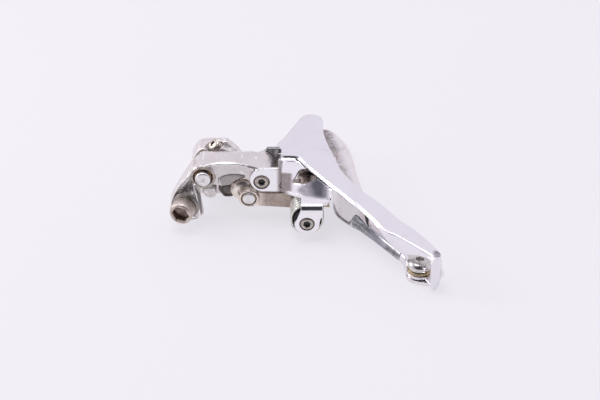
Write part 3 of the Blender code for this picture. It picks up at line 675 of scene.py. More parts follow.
def stop_insert():
    corners = [(-29, 8.4), (-27.9, 10.9), (-23.6, 11.2), (-22.4, 9.6), (-22.4, 6.8), (-23.9, 5.2)]
    outline = rounded([*corners, (-26.9, 5.1)], 0.9)
    near = inset(outline, 0.35)
    levels = [(1.0, outline), (-5.2, outline), (-5.6, near)]
    for y, margin in ((-5.6, 0.35), (-5.1, 0.5), (-5.1, 0.9), (-5.4, 1.1), (-5.4, 1.4)):
        levels.append((y, inset(near, margin)))
    rings = [[(x, y, z) for x, z in points] for y, points in levels]
    machined("stop_insert", loft(rings), 0.12, "body", "dark_insert", INSERT)


def pin_head(node, pivot, near, radius, dimple):
    """A turned pin with a domed, chamfered end, and a dimple where the end has one."""
    profile = [(0.22, 0.25), (0.05, 0.5)] if dimple else [(0, 0.3)]
    profile += [(0.0, radius * 0.5), (0.03, radius - 0.45), (0.14, radius - 0.2), (0.4, radius)]
    profile += [(1.6, radius), (1.6, 2.1), (1.2 - near, 2.1), (1.2 - near, 1.6), (7.0 - near, 1.6)]
    machined(node, along_y(pivot, near, profile), 0.06, "body", "pin_steel", PIN, angle=50)


def frame_fixing():
    profile = [(-14, 1.9), (-13.5, 2.4), (0, 2.4), (0, 4.1), (0.15, 4.2), (3.5, 4.2), (4, 3.8)]
    profile += [(4.0, hexagon(5.2)), (3.75, hexagon(5.0)), (1.6, hexagon(5.0)), (1.3, 0.4)]
    bolt = along_y(FRAME_BOLT_AXIS, 18.6, profile)
    machined("frame_bolt", bolt, 0.1, "body", "grey_steel", SCREW)
    ring = [(0, 2.7), (0, 5.7), (0.25, 6), (1.05, 6), (1.3, 5.7), (1.3, 2.7)]
    washer = along_y(FRAME_BOLT_AXIS, 17.0, ring, hollow=True)
    machined("frame_washer", washer, 0.1, "body", "spring_steel", SPRING)


def limit_screw(node, body, mouth, axis):
    """A threaded screw with a rounded, socketed end."""
    thread = threaded(mouth, axis, -8.0, 0.75, 2.1, 0.7, 0.38)
    profile = [(-7.0, 1.5), (0.7, 1.55), (0.85, 1.95), (1.2, 1.95), (1.45, 1.6), (1.45, hexagon(2.1))]
    profile += [(0.2, hexagon(2.0)), (0.1, 0.2)]
    piece = raw(f"{node}_skin", joined([thread, turned(mouth, axis, profile, 36)]))
    piece.data.shade_smooth()
    piece.data.set_sharp_from_angle(angle=math.radians(38))
    finish(piece, body, "grey_steel", SCREW, node)


# ---- outer link

ARCH = [(-38.1, 17.1), (-36.4, 19.6), (-34.5, 21.3), (-32, 22.4), (-28.6, 23.1), (-25.2, 23.3)]
ARCH += [(-22, 23), (-17.9, 22.1), (-15.2, 21.2)]

# The arm's outer wall: x, z, near y and far y, from the arch down to the clamp pad.
ARM_WALL = [(-37.4, 19.8, -11, -2.4), (-39.2, 17.7, -11.2, -4), (-40.8, 15.9, -11.5, -5.8)]
ARM_WALL += [(-42.6, 13.6, -12.1, -7.4), (-44.3, 10.9, -12.6, -8.3), (-45.4, 8.3, -12.9, -8.8)]
ARM_WALL += [(-45.7, 5.8, -13.1, -9)]

# The arm's hollow near face: x, z and y on its left ridge and on its right fin, and how deep it dips.
ARM_FACE = [
    (-36.8, 20.2, -11, -34.9, 15.6, -10.6, 0.2), (-38, 19, -11.1, -36.4, 15, -11.6, 0.6),
    (-39.1, 17.6, -11.2, -36.8, 14.5, -12.4, 1.2), (-40.7, 15.8, -11.5, -36.5, 13, -13, 1.9),
    (-42.5, 13.5, -12.1, -36.1, 11, -13.4, 2.5), (-44.2, 10.8, -12.6, -35.9, 8.4, -13.6, 3),
    (-45.2, 8.2, -12.9, -35.4, 5.4, -13.6, 3.1), (-45.4, 6.2, -13, -35.1, 3.2, -13.4, 3),
    (-44.8, 4.8, -12.9, -36, 1.9, -13.3, 2.8), (-43.6, 4.2, -12.6, -37.4, 1.6, -13, 2.5),
]

# The ridge that runs from the arch's near edge down the arm, where a near-white bead is a painted highlight.
RIDGE = [(-18.2, -10.9, 21.8), (-22, -10.9, 22.6), (-25.2, -10.9, 22.9), (-28.6, -10.9, 22.7)]
RIDGE += [(-32, -10.9, 22), (-34.5, -10.9, 21.2), (-37, -11, 19.8), (-39, -11.2, 17.5)]
RIDGE += [(-40.6, -11.5, 15.7), (-42.4, -12.1, 13.4), (-44, -12.6, 10.8), (-45, -12.9, 8.2)]
RIDGE += [(-45.1, -13, 6.2)]
FIN_ROWS = ARM_FACE[1:8]


def arm_face():
    """The cable arm's channel from the pivot to the clamp, between a ridge and a fin."""
    rings = []
    steps = 14
    for ridge_x, ridge_z, ridge_y, fin_x, fin_z, fin_y, dip in eased(ARM_FACE, 2):
        ring = []
        for step in range(steps + 1):
            t = step / steps
            share = 0.62 * math.sin(math.pi * t) + 0.38 * math.sin(math.pi * t) ** 3
            y = ridge_y + (fin_y - ridge_y) * t + dip * share
            ring.append((ridge_x + (fin_x - ridge_x) * t, y, ridge_z + (fin_z - ridge_z) * t))
        ring += [(fin_x + 1.5, max(fin_y, -11.3), fin_z - 0.7), (fin_x + 1.1, -8.8, fin_z - 0.7)]
        rings.append([*ring, (ridge_x + 0.6, -8.8, ridge_z - 0.2)])
    return loft(rings)


def wall_between(stations, thickness):
    """A wall along stations of (x, z, near y, far y), as thick as said, in the plane across Y."""
    rings = []
    for (x, z, near, far), side in with_sides(stations):
        side = side * thickness
        beyond = (x + side.x, z + side.y)
        rings.append([(x, near, z), (x, far, z), (beyond[0], far, beyond[1]), (beyond[0], near, beyond[1])])
    return loft(rings)


def outer_link():
    cage_end = arc(OUTER_CAGE, 4.3, 80, -150, 20)
    under = [(-19.1, 17), (-20.6, 17.2), (-22.4, 16.2), (-24.5, 14), (-27.2, 13.2)]
    body_end = arc(OUTER_BODY, 4.7, -50, -150, 12)
    outline = eased(ARCH, 2) + cage_end + eased(under, 1) + body_end
    hollow = [(-28.9, 9), (-28.9, 20.2), (-25.5, 20.9), (-20, 20.1), (-18, 19.6), (-18, 9)]
    recess = [(-28.4, 17.2), (-26.8, 18.3), (-24.1, 18.9), (-20.4, 18.7), (-17.4, 17.2), (-17.4, 12)]
    recess += [(-28.4, 12)]
    pad_start = Vector(CLAMP_SEAT) - CLAMP_AXIS * 1.8
    add = [
        wall_between(eased(ARM_WALL, 2), 1.7),
        arm_face(),
        turned(pad_start, -CLAMP_AXIS, [(0, 3.8), (0.3, 4.1), (4.0, 4.1), (4.6, 3.6)], 40),
        cylinder_y(OUTER_BODY, -11.3, -9.0, 4.7),
        cylinder_y(OUTER_CAGE, -1.6, 1.0, 4.2),
    ]
    cut = [
        prism(hollow, "y", -8.6, -3.0),
        prism(rounded(recess, 0.8), "y", -12.0, -10.35),
        prism([(-4.6, 23.4), (0.6, 20.8), (0.6, 26.0), (-4.6, 26.0)], "x", -40.0, -12.0),
        cylinder_y(OUTER_BODY, -13.0, -9.9, 3.55),
        cylinder_y(OUTER_BODY, -13.0, 0.4, 3.1),
        cylinder_y(OUTER_CAGE, -12.0, 2.0, 2.9),
        turned(CLAMP_SEAT, -CLAMP_AXIS, [(-2.0, 2.7), (12.0, 2.7)]),
    ]
    shape = prism(outline, "y", -11.0, -0.6, 0.6, 0.3)
    cast("outer_link", shape, add, cut, 0.17, 6, "outer_link", "silver_paint", PAINT)


def outer_link_details():
    """The pocket under the arch, beads on the arm's edges as a painted highlight, a dark strip on the arm's
    flank as painted shade, and the boss's ring.
    """
    lens = [(-28.1, 16.4), (-26.6, 17.5), (-24.1, 18.1), (-21, 18), (-18.8, 17.3), (-20.6, 17)]
    lens += [(-22.4, 15.9), (-24.3, 14), (-27.2, 13.5)]
    pocket = prism(rounded(lens, 0.6), "y", -10.75, -10.1, 0.1)
    machined("outer_link_pocket", pocket, 0.08, "outer_link", "silver_paint", POCKET)
    # Beads along the ridge and the fin, in near-white: painted highlight.
    bead("outer_link_ridge_highlight", tube(eased(RIDGE, 2), 0.42, 10), "outer_link", "silver_paint", RIDGE_HIGHLIGHT)
    fin = [(x, y, z) for _, _, _, x, z, y, _ in FIN_ROWS]
    fin += [(-35.4, -13.3, 2), (-36.6, -13.2, 1.2), (-38.2, -13, 0.9)]
    bead("outer_link_fin_highlight", tube(eased(fin, 2), 0.34, 10), "outer_link", "silver_paint", RIDGE_HIGHLIGHT)
    # A dark strip along the arm's flank under the fin: painted shade.
    rows = []
    crest = eased(FIN_ROWS, 2)
    for step, (_, _, _, x, z, y, _) in enumerate(crest):
        swell = math.sin(math.pi * step / (len(crest) - 1)) ** 0.7
        near = (x + 0.3, y + 0.05, z - 0.15)
        far = (x + 0.45 + 0.95 * swell, y + 0.5 + 1.3 * swell, z - 0.3 - 0.5 * swell)
        rows.append([near, far, (x + 0.3, y + 0.9 + swell, z - 0.1), (x - 0.3, y + 0.6, z + 0.1)])
    machined("outer_link_flank_shade", loft(rows), 0.05, "outer_link", "silver_paint", FLANK_SHADE)
    ring = [(0, 3.5), (0, 4.25), (0.3, 4.5), (1, 4.55), (1, 3.5)]
    boss = along_y(OUTER_BODY, -11.75, ring, hollow=True)
    machined("outer_link_boss_ring", boss, 0.12, "outer_link", "silver_paint", ROUGH_RING)


def cable_clamp():
    mouth, socket, liner_out, liner_in = (hexagon(flats, 18) for flats in (5.7, 5.2, 5.19, 5.16))
    profile = [(-6, 2.1), (-5.7, 2.4), (0, 2.4), (0, 3.95), (0.2, 4.1), (4.1, 4.1), (4.55, 3.98)]
    profile += [(4.85, 3.75), (5.0, 3.45), (4.95, mouth), (4.6, socket), (2.2, socket), (1.7, 0.5)]
    bolt = turned(CLAMP_SEAT, CLAMP_AXIS, profile, 60)
    machined("clamp_bolt", bolt, 0.12, "cable_clamp", "grey_steel", BOLT)
    wall = [(4.55, liner_in), (2.25, liner_in), (1.9, 0.6), (1.85, 0.6), (2.2, liner_out)]
    liner = turned(CLAMP_SEAT, CLAMP_AXIS, [*wall, (4.55, liner_out)], 60, hollow=True)
    machined("clamp_bolt_socket", liner, 0.02, "cable_clamp", "grey_steel", SOCKET)
    ring = [(-0.3, 2.7), (-0.3, 4.3), (-0.55, 4.85), (-0.85, 4.9), (-0.95, 4.6), (-1.1, 4.6), (-1.2, 4.9)]
    ring += [(-1.45, 4.9), (-1.5, 2.7)]
    washer = turned(CLAMP_SEAT, CLAMP_AXIS, ring, 60, hollow=True)
    machined("clamp_washer", washer, 0.06, "cable_clamp", "spring_steel", WASHER)


# ---- inner link

def inner_link():
    bar = [(-19, 5), (-17.6, 12.4), (-15.4, 11.5), (-12, 11.1), (-8, 11), (2.4, 11.8), (2.4, 3.2)]
    bar += [(-4, 4), (-12, 4.6)]
    barrel = [(0, 3.3), (0.25, 3.55), (0.9, 3.75), (2, 4.15), (4, 4.3), (9.5, 4.25), (11.5, 4), (13, 4)]
    add = [
        prism(eased(bar + bar[:1], 1)[:-1], "y", -10.9, -3.0, 0.6, 0.6),
        ball((-20.0, -7.9, 10.3), (4.5, 2.1, 4.2)),
        ball((-18.3, -6.3, 8.6), (4.6, 4.6, 4.6)),
        cylinder_y(INNER_CAGE, -12.6, -0.8, 4.4),
    ]
    cut = [
        cylinder_y(INNER_BODY, -13.0, -11.2, 2.75),
        cylinder_y(INNER_BODY, -11.6, 2.0, PIN_HOLE),
        cylinder_y(INNER_CAGE, -14.0, 2.0, 2.9),
    ]
    shape = along_y(INNER_BODY, -12.0, barrel)
    cast("inner_link", shape, add, cut, 0.16, 7, "inner_link", "worn_nickel", NICKEL)


def return_spring():
    """Close turns round the cage's pivot, with one leg on the inner link and one on the cage."""
    radius = 5.35
    wire = 0.56
    turns = 6.5
    low = -22.8
    high = -13.5
    steps_per_turn = 28
    x, z = INNER_CAGE
    points = []
    for step in range(int(turns * steps_per_turn) + 1):
        angle = 2 * math.pi * step / steps_per_turn + math.radians(200)
        y = low + (high - low) * step / (turns * steps_per_turn)
        points.append((x + radius * math.cos(angle), y, z + radius * math.sin(angle)))
    end = Vector(points[-1])
    tail = [tuple(end + Vector((-1.2, 0.5, 0.2))), tuple(end + Vector((-3.2, 1.2, 0.4)))]
    coil = raw("return_spring_coil", tube(points + tail, wire))
    coil.data.shade_smooth()
    coil.data.materials.append(SPRING)
    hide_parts("return_spring")
    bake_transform(coil)
    leg = eased([(9.9, -21.0, 12.3), (8.3, -21.6, 13.0), (4.0, -22.6, 12.9)], 2)
    bead("return_spring_leg", tube(leg, wire), "cage", "spring_steel", BRASS)


# ---- cage

WINDOW = [(-0.2, -2.2), (3.2, -1.6), (6.2, -4.9), (4.9, -9.6), (1.5, -12), (-2, -11.4), (-2.6, -9.9)]


def rivet_holes(start):
    return [turned((start, y, RIVET_HEIGHT), (1, 0, 0), [(0, 1.5), (3, 1.5)], 24) for y in RIVET_STATIONS]


def tail_hole(low, depth):
    return turned((*TAIL_AXIS, low), (0, 0, 1), [(0, 2.2), (depth, 2.2)])


def cage_bracket():
    ear = rounded([(-6.5, 12.3), (-6.5, 21.9), *arc((-12.6, 17.1), 4.7, 95, 265, 16)], 0.3)
    far_clevis = [(-6.5, 12.3), (-6.5, 21.2), (-11.6, 21.2), *arc((-12.0, 16.6), 3.2, 100, 265, 14)]
    web = [(-12.4, 12.4), (-12.4, 21.8), (-8, 20.6), (2.4, 18.9), (2.4, 12.4)]
    shelf = [(-7.6, 4.4), (-7.6, -12.5), (-6.6, -14.6), (-2.6, -17.3), (0.4, -18.8), (0.2, -23.2)]
    shelf += [(7.9, -23.2), (9.4, -22.8), (10.6, -21), (11.3, -15), (11.3, 10), (-4, 10)]
    bend = [(-19.0, 14.9), (-23.0, 14.9), *arc((-23.0, 12.7), 2.2, 100, 180, 8), (-25.2, 10.0)]
    bend += [(-24.0, 10.0), *arc((-23.0, 12.7), 1.0, 180, 100, 6), (-19.0, 13.7)]
    lower_ear = rounded([(0.3, 13.2), (-1.4, 8.4), *arc(INNER_CAGE, 4.3, 175, 365, 18), (7.8, 13.2)], 0.4)
    far_ear = rounded([(0.3, 14.8), (-1.5, 8.4), *arc(INNER_CAGE, 4.3, 175, 365, 18), (7.8, 14.8)], 0.4)
    flange = [(-0.2, 5), (-0.2, 14), (9.6, 14), (9.6, 5)]
    crease = [(-2.2, -14.2, 14.7), (1.6, -11.6, 14.85), (4.6, -8.6, 14.85), (6.6, -5.2, 14.85)]
    crease += [(9.7, -7.9, 14.8), (10, -20, 14.7)]
    cove = [(2.4, 14.5), (3.2, 14.95), (3.8, 15.1), (4.2, 15.35), (4.2, 14.5)]
    add = [
        prism(ear, "y", -12.6, -11.4),
        prism(rounded(far_clevis, 0.3), "y", 1.4, 2.6),
        prism(web, "x", -7.7, -6.5),
        prism(bend, "x", 0.3, 7.8),
        prism(lower_ear, "y", -25.2, -24.0),
        prism(far_ear, "y", -0.4, 0.8),
        prism(flange, "x", 10.2, 11.3),
        prism(cove, "x", -7.5, -1.5),
        tube(eased(crease, 1), 0.32, 8),
        tube([(x, y, 14.75) for x, y in rounded(WINDOW, 1.2)[8:]], 0.45, 8),
    ]
    cut = [
        prism(rounded(WINDOW, 1.0), "z", 12.0, 16.0),
        cylinder_y(OUTER_CAGE, -13.6, -10.6, 2.8),
        cylinder_y(OUTER_CAGE, 0.4, 3.4, 2.2),
        cylinder_y(INNER_CAGE, -26.2, -23.2, PIN_HOLE),
        cylinder_y(INNER_CAGE, -1.2, 1.6, 2.2),
        turned((10.1, -20.6, 12.0), (0, 0, 1), [(0, 0.8), (4, 0.8)], 24),
    ]
    cut += rivet_holes(9.2)
    shape = prism(shelf, "z", 13.7, 14.9)
    # The bracket's chrome carries painted shade and painted dark reflections in its zones.
    cast("cage_bracket", shape, add, cut, 0.15, 4, "cage", "chromed_steel", BRACKET)


def plate_height(y):
    return 16.2 - 0.08 * max(0.0, -15.0 - y)


# The outer plate across its width: the right edge's x and y, the left edge's x and y, and the edge's drop.
OUTER_PLATE = [
    (5.4, 32.4, 2, 32.6, 1), (7.4, 31.4, 0.6, 31.8, 1), (8.5, 29.2, -0.4, 29.6, 1),
    (8.6, 25.5, -2, 26, 1), (8.5, 21.7, -3.8, 21.8, 1), (8.6, 18.6, -5.5, 17.7, 1),
    (9.1, 16.2, -7.1, 15.3, 1), (9.6, 13.5, -8.4, 13.2, 1), (10.2, 11, -8.8, 10.6, 1),
    (10.8, 8.6, -8.8, 8.2, 1), (11.4, 6.4, -8.5, 5.9, 1), (11.7, 5.2, -7.6, 4.4, 1),
    (12, 4, -1.6, 4.3, 1), (12.4, 2, 0, 2.4, 1), (13.4, -2.1, 2.8, -2.9, 1),
    (14.8, -5.9, 5.4, -6.8, 1), (16.7, -9.6, 8, -10.6, 1), (18.5, -13.3, 10.6, -14.3, 1.05),
    (20.8, -16.8, 14.4, -19, 1.1), (23.6, -20, 17.4, -23.5, 1.1), (26.4, -23, 20, -26.1, 1.1),
    (29.6, -27.3, 22.3, -29.4, 1.1), (32.4, -31.4, 24.8, -33.2, 1.1), (34.8, -34.4, 26.6, -36.6, 1.3),
    (36.8, -36.4, 28.3, -39, 2.4), (38.4, -38.2, 30.3, -40.4, 4.6), (39.8, -40, 32.4, -42.3, 5.5),
    (41.4, -42.2, 35.2, -44.8, 4.6), (43, -44.6, 38.6, -47.6, 2.4), (44.6, -47.4, 41.4, -50.2, 1.2),
    (45.5, -49.1, 42.6, -51.6, 1.2), (45.9, -49.9, 43.2, -52.7, 1.4),
]


def outer_plate_ring(station):
    """One section through the outer plate and its turned-down left edge."""
    right_x, right_y, left_x, left_y, drop = station
    right = Vector((right_x, right_y))
    left = Vector((left_x, left_y))
    run = (left - right).normalized()
    width = (left - right).length
    reach = max(0.45, 0.16 * drop)
    level = plate_height(left.y)
    foot_height = level - drop
    columns = 10
    top = []
    for column in range(columns + 1):
        share = column / columns
        point = right + run * (width - reach - 0.62) * share
        top.append((point.x, point.y, plate_height(point.y) - 0.04 * (2 * share - 1) ** 2))
    for away, fall in ((0.54, 0.04), (0.40, 0.09), (0.26, 0.20), (0.14, 0.36)):
        point = left - run * (reach + away)
        top.append((point.x, point.y, level - fall))
    shoulder = left - run * (reach + 0.04)
    top.append((shoulder.x, shoulder.y, level - 0.55))
    top.append((left.x, left.y, min(foot_height + 0.3, level - 0.7)))
    inner = left - run * 0.9
    under = [(left.x, left.y, foot_height), (inner.x, inner.y, foot_height)]
    inside = left - run * (reach + 0.8)
    under.append((inside.x, inside.y, max(level - 1.15, foot_height + 0.05)))
    for column in range(columns, -1, -1):
        share = column / columns
        point = right + run * (width - reach - 1.2) * share
        under.append((point.x, point.y, plate_height(point.y) - 1.1))
    return top + under


def cage_outer_plate():
    rings = [outer_plate_ring(station) for station in eased(OUTER_PLATE, 2)]
    machined("cage_outer_plate", loft(rings), 0.14, "cage", "chromed_steel", PLATE, angle=50)
    cap = [(42.6, -53.4, 4, 13), (43.2, -53.2, 1.6, 13.2), (44, -52.5, 0.4, 13.2)]
    cap += [(44.8, -51.4, 0.5, 13.2), (45.5, -50.2, 1.6, 12.9), (46, -49.4, 2.6, 10.5)]
    cap += [(46.6, -48.7, 3, 6.2), (47.2, -48.2, 3.6, 5.4)]
    end = strip(eased(cap, 2), 1.0)
    machined("cage_end_cap", end, 0.3, "cage", "chromed_steel", CHROME, segments=3, angle=50)
    outline = [*arc(TAIL_AXIS, 4.4, 20, 290, 28), (42.6, -51.6), (43.6, -52.8), (46.4, -48.8)]
    foot = raw("cage_end_foot", prism(outline, "z", 1.5, 2.5))
    combine(foot, [], [tail_hole(0.4, 4)])
    edged(foot, 0.15, 2, 50)
    finish(foot, "cage", "chromed_steel", CHROME)


# The inner plate across its width: the right and the left edge's x and y, then a wall's height and lean.
INNER_PLATE = [
    (11, 45.4, 8.2, 46.3), (12.5, 43.9, 5.8, 45), (13.8, 42.2, 3.6, 42.4), (15.2, 39.4, 2.2, 38.8),
    (16.8, 36.6, 1.3, 35), (18.2, 32.6, 1, 31), (19.2, 28.4, 1, 27), (19.8, 24.3, 1.2, 22.8),
    (20.2, 20.3, 1.8, 18.6), (20.8, 16.3, 4, 15), (21.1, 13.6, 7.6, 11.8), (21.3, 12, 11.7, 9.7),
    (21.4, 11.8, 11.7, 9.6, 1.3, 0), (21.4, 11.6, 11.7, 9.5, 13.3, 0),
    (21.9, 8.5, 11.7, 5, 13.3, 0), (22.5, 4.6, 11.7, 0.3, 13.3, 0),
    (23.2, 0.8, 11.9, -2.6, 13.3, 0), (24.2, -4.2, 12.3, -5.8, 13.3, 0),
    (25.4, -7.4, 12.9, -9, 13.5, 0.1), (27, -10.4, 14, -11.4, 13.6, 0.3),
    (28.6, -13.5, 15.6, -13.5, 13.5, 0.6), (29.8, -15.7, 17.4, -15.6, 13, 1),
    (30.8, -17.6, 19.1, -17.3, 11.6, 1.3), (31.8, -19.5, 20.8, -18.6, 8.2, 1.2),
    (32.8, -21.4, 22.4, -20.6, 3.8, 0.6), (34.5, -24.5, 26.3, -25), (38, -30.6, 30.6, -31),
    (40.8, -35.5, 34, -36), (43, -39.6, 36, -39.6), (44.4, -42.6, 35.4, -42.8),
    (45.1, -45.6, 35.1, -45.4), (44.6, -48, 36.4, -47.6), (43.2, -49.6, 38.2, -48.8),
    (41.6, -49.6, 39.8, -49.1),
]

# Low edges, by x, y and height: the wall's rounded foot, and the edge along the tail, which leans in.
WALL_FOOT = [(12.1, -1.9, 0.5), (12.1, -5.6, 0.5), (12.8, -9.2, 0.5), (13.9, -11.5, 0.5)]
WALL_FOOT += [(15.5, -13.6, 0.5), (17.2, -15.4, 0.5)]
TAIL_EDGE = [(16.7, -15.2, 1.4), (17.4, -16, 2.8), (18.2, -16.8, 5), (19.4, -17.9, 6.2)]
TAIL_EDGE += [(20.8, -19.2, 4.6), (23.6, -22.5, 3.4), (27.2, -27.3, 3.1), (30.7, -32.2, 3), (33.4, -35.9, 3)]
TAIL_EDGE_END = [(33.6, -36.2, 3), (34.8, -38.2, 3), (35.3, -40.4, 2.8), (35.4, -42, 1.8)]


def leaning_strip(stations, lean, thickness):
    """A low wall whose top leans over to the left of its run."""
    rings = []
    for (x, y, top), side in with_sides(stations):
        ring = []
        for away, order in ((0.0, range(7)), (thickness, range(6, -1, -1))):
            for step in order:
                turn = math.radians(90 * step / 6)
                reach = away + lean * (1 - math.cos(turn))
                ring.append((x + side.x * reach, y + side.y * reach, 0.1 + (top - 0.1) * math.sin(turn)))
        rings.append(ring)
    return loft(rings)


def inner_plate_ring(station):
    """One section through the inner plate and the wall on its left edge."""
    right_x, right_y, left_x, left_y, height, lean = station
    right = Vector((right_x, right_y))
    left = Vector((left_x, left_y))
    run = (left - right).normalized()
    width = (left - right).length
    ring = [(right.x, right.y, 0.0), (left.x, left.y, 0.0)]
    rows = 8
    outside = []
    inside = []
    for row in range(rows + 1):
        share = row / rows
        reach = lean * math.sin(share * math.pi / 2)
        z = 0.5 + (height - 0.5) * share
        outer_point = left - run * reach
        inner_point = left - run * (reach + SHEET)
        outside.append((outer_point.x, outer_point.y, z))
        inside.append((inner_point.x, inner_point.y, max(z, SHEET)))
    ring += outside
    ring += reversed(inside)
    columns = 8
    for column in range(1, columns + 1):
        share = column / columns
        point = left - run * (SHEET + (width - SHEET) * share)
        ring.append((point.x, point.y, SHEET))
    return ring


def cage_inner_plate():
    stations = [row if len(row) == 6 else (*row, SHEET, 0.0) for row in INNER_PLATE]
    rings = [inner_plate_ring(station) for station in eased(stations, 2)]
    plate = raw("cage_inner_plate_skin", loft(rings))
    weld(plate)
    combine(plate, [], [tail_hole(-1.0, 3), *rivet_holes(10.8)])
    edged(plate, 0.18, 2, 50)
    finish(plate, "cage", "chromed_steel", STAINED, "cage_inner_plate")
    # A dark bead along the wall's foot is a painted shade line; the tail's turned edge is painted dark as a
    # dark reflection.
    bead("wall_foot_shade_line", tube(eased(WALL_FOOT, 2), 0.45, 10), "cage", "chromed_steel", DARK_REFLECTION_CHROME)
    for name, stations, look in (("tail_edge", TAIL_EDGE, DARK_REFLECTION_CHROME), ("tail_edge_end", TAIL_EDGE_END, CHROME)):
        edge = leaning_strip(eased(stations, 2), 1.0, 0.9)
        machined(name, edge, 0.12, "cage", "chromed_steel", look, angle=50)


def cage_screw(node, pivot, near, far, radius):
    profile = [(0.8, 0.3), (0.9, hexagon(2.2)), (0.12, hexagon(2.3)), (0.0, 1.55), (0.0, radius - 0.45)]
    profile += [(0.15, radius - 0.15), (0.4, radius), (1.5, radius), (1.5, 1.9), (far - near, 1.9)]
    machined(node, along_y(pivot, near, profile), 0.06, "cage", "grey_steel", SCREW, angle=50)
    # A black lining in the screw's socket: painted shade.
    liner = [(0.72, 0.1), (0.7, 1.02), (0.1, 1.05), (0.12, 1), (0.66, 0.98), (0.68, 0.1)]
    hole = raw(f"{node}_skin_socket_shade", along_y(pivot, near, liner, 24, hollow=True))
    finish(hole, "cage", "black_nylon", NYLON_AND_SOCKET_SHADE)


def rivets():
    length = 2.7
    profile = [(-1.1, 0.5), (-1.0, 1.1), (-0.6, 1.75), (-0.3, 1.9), (-0.3, 1.2), (length + 0.3, 1.2)]
    profile += [(length + 0.3, 1.9), (length + 0.6, 1.75), (length + 1.0, 1.1), (length + 1.1, 0.5)]
    for name, station in zip(("rear_rivet", "front_rivet"), RIVET_STATIONS):
        shape = turned((10.2, station, RIVET_HEIGHT), (1, 0, 0), profile, 32)
        machined(name, shape, 0.05, "cage", "chromed_steel", CHROME, angle=50)


def tail_fixing():
    start = (*TAIL_AXIS, 0.0)
    screw = [(0.3, 1.6), (0.6, 1.9), (4.8, 1.9), (4.8, 4.1), (4.95, 4.25), (5.5, 4.25), (6.1, 3.95)]
    screw += [(6.7, 3.25), (7.05, 2.4), (7.15, 1.7), (7.1, hexagon(2.7)), (5.9, hexagon(2.5)), (5.8, 0.3)]
    plain = [(2.8, 2.2), (2.8, 4.05), (2.95, 4.2), (3.35, 4.2), (3.5, 4.05), (3.5, 2.2)]
    lock = [(3.8, 2.2), (3.8, 3.6), (3.9, 3.7), (4.4, 3.7), (4.5, 3.6), (4.5, 2.2)]
    for node, profile, width, slot, look in (
        ("tail_screw", screw, 0.06, "grey_steel", TAIL_STEEL),
        ("tail_washer", plain, 0.05, "brown_washer", BRASS),
        ("tail_lock_washer", lock, 0.05, "grey_steel", TAIL_STEEL),
    ):
        shape = turned(start, (0, 0, 1), profile, 60, hollow=profile is not screw)
        machined(node, shape, width, "cage", slot, look, angle=50)


def carried_over():
    """CAD nodes whose shape is right keep it, and get a finished material."""
    bushes = ("outer_body_bush", "outer_cage_bush", "inner_body_bush", "inner_cage_bush")
    for node in (*bushes, "spring_sleeve"):
        mesh = frame["nodes"][node].data
        mesh.materials.clear()
        mesh.materials.append(BRONZE if node in bushes else NYLON_AND_SOCKET_SHADE)


# ---- stage

def floor():
    bpy.ops.mesh.primitive_plane_add(size=6.0, location=(0, 0, 0))
    plane = bpy.context.object
    plane.name = "floor"
    n = Nodes("floor")
    cloud = n.noise(0.004, 3.0)
    colour = n.mix(n.ramp(cloud, 0.35, 0.65), (0.200, 0.195, 0.205), (0.210, 0.205, 0.215))
    n.shader.inputs["Emission Color"].default_value = (0.86, 0.835, 0.895, 1.0)
    n.shader.inputs["Emission Strength"].default_value = 0.765
    plane.data.materials.append(n.done(colour, n.ramp(cloud, 0, 1, 0.75, 0.9), None, 0.0))


def area_light(name, position, size, power, colour):
    """A square light that faces the part."""
    data = bpy.data.lights.new(name, "AREA")
    data.shape = "SQUARE"
    data.size = size
    data.energy = power
    data.color = colour
    lamp = linked(name, data)
    lamp.location = position
    lamp.rotation_euler = (-Vector(position)).to_track_quat("-Z", "Y").to_euler()


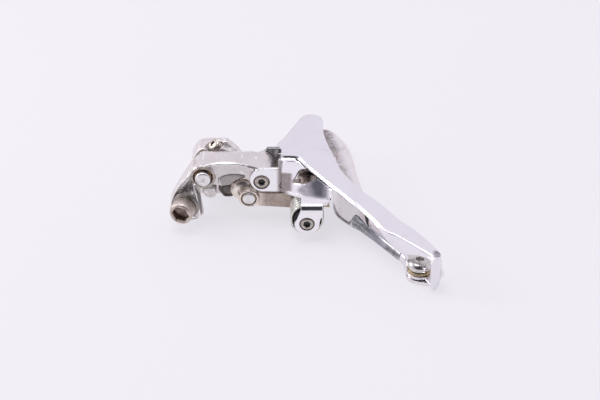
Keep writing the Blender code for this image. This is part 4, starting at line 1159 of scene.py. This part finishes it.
def studio():
    """A pale room, bright above and behind, and darker in front of the part."""
    world = bpy.data.worlds.new("studio")
    bpy.context.scene.world = world
    world.use_nodes = True
    tree = world.node_tree
    background = tree.nodes["Background"]
    direction = add_node(tree, "TexCoord", {}, "Generated")
    inputs = {0: direction, 1: Vector((0.0, -0.78, 0.62)).normalized()}
    facing = add_node(tree, "VectorMath", inputs, "Value", operation="DOT_PRODUCT")
    ramp = tree.nodes.new("ShaderNodeValToRGB")
    ramp.color_ramp.interpolation = "EASE"
    light, dark = ramp.color_ramp.elements
    light.position = 0.42
    light.color = (0.865, 0.825, 0.915, 1.0)
    dark.position = 0.86
    dark.color = (0.035, 0.035, 0.045, 1.0)
    tree.links.new(facing, ramp.inputs["Fac"])
    tree.links.new(ramp.outputs["Color"], background.inputs["Color"])
    area_light("key", (-0.12, 0.02, 0.95), 0.5, 3.2, (1.0, 0.985, 0.98))
    area_light("side", (-0.6, 0.12, 0.34), 0.22, 1.2, (1.0, 0.99, 0.98))


def camera():
    data = bpy.data.cameras.new("camera")
    data.lens = 85
    data.clip_start = 0.01
    eye = linked("camera", data)
    elevation = math.radians(35)
    away = Vector((0, -math.cos(elevation), math.sin(elevation)))
    eye.location = ORIGIN + away * 0.510
    eye.rotation_euler = (-away).to_track_quat("-Z", "Y").to_euler()
    bpy.context.scene.camera = eye


camera()
floor()
studio()
body_casting()
stop_insert()
pin_head("outer_body_pin", OUTER_BODY, -13.4, 2.7, True)
pin_head("inner_body_pin", INNER_BODY, -12.25, 2.3, False)
frame_fixing()
limit_screw("low_limit_screw", "low_limit", LOW_MOUTH, LOW_SCREW_AXIS)
limit_screw("high_limit_screw", "high_limit", HIGH_MOUTH, HIGH_SCREW_AXIS)
outer_link()
outer_link_details()
cable_clamp()
inner_link()
return_spring()
cage_bracket()
cage_outer_plate()
cage_inner_plate()
cage_screw("outer_cage_screw", OUTER_CAGE, -12.7, 2.6, 2.5)
cage_screw("inner_cage_screw", INNER_CAGE, -25.4, 0.8, 2.3)
rivets()
tail_fixing()
carried_over()
bpy.context.scene.view_settings.view_transform = "Standard"
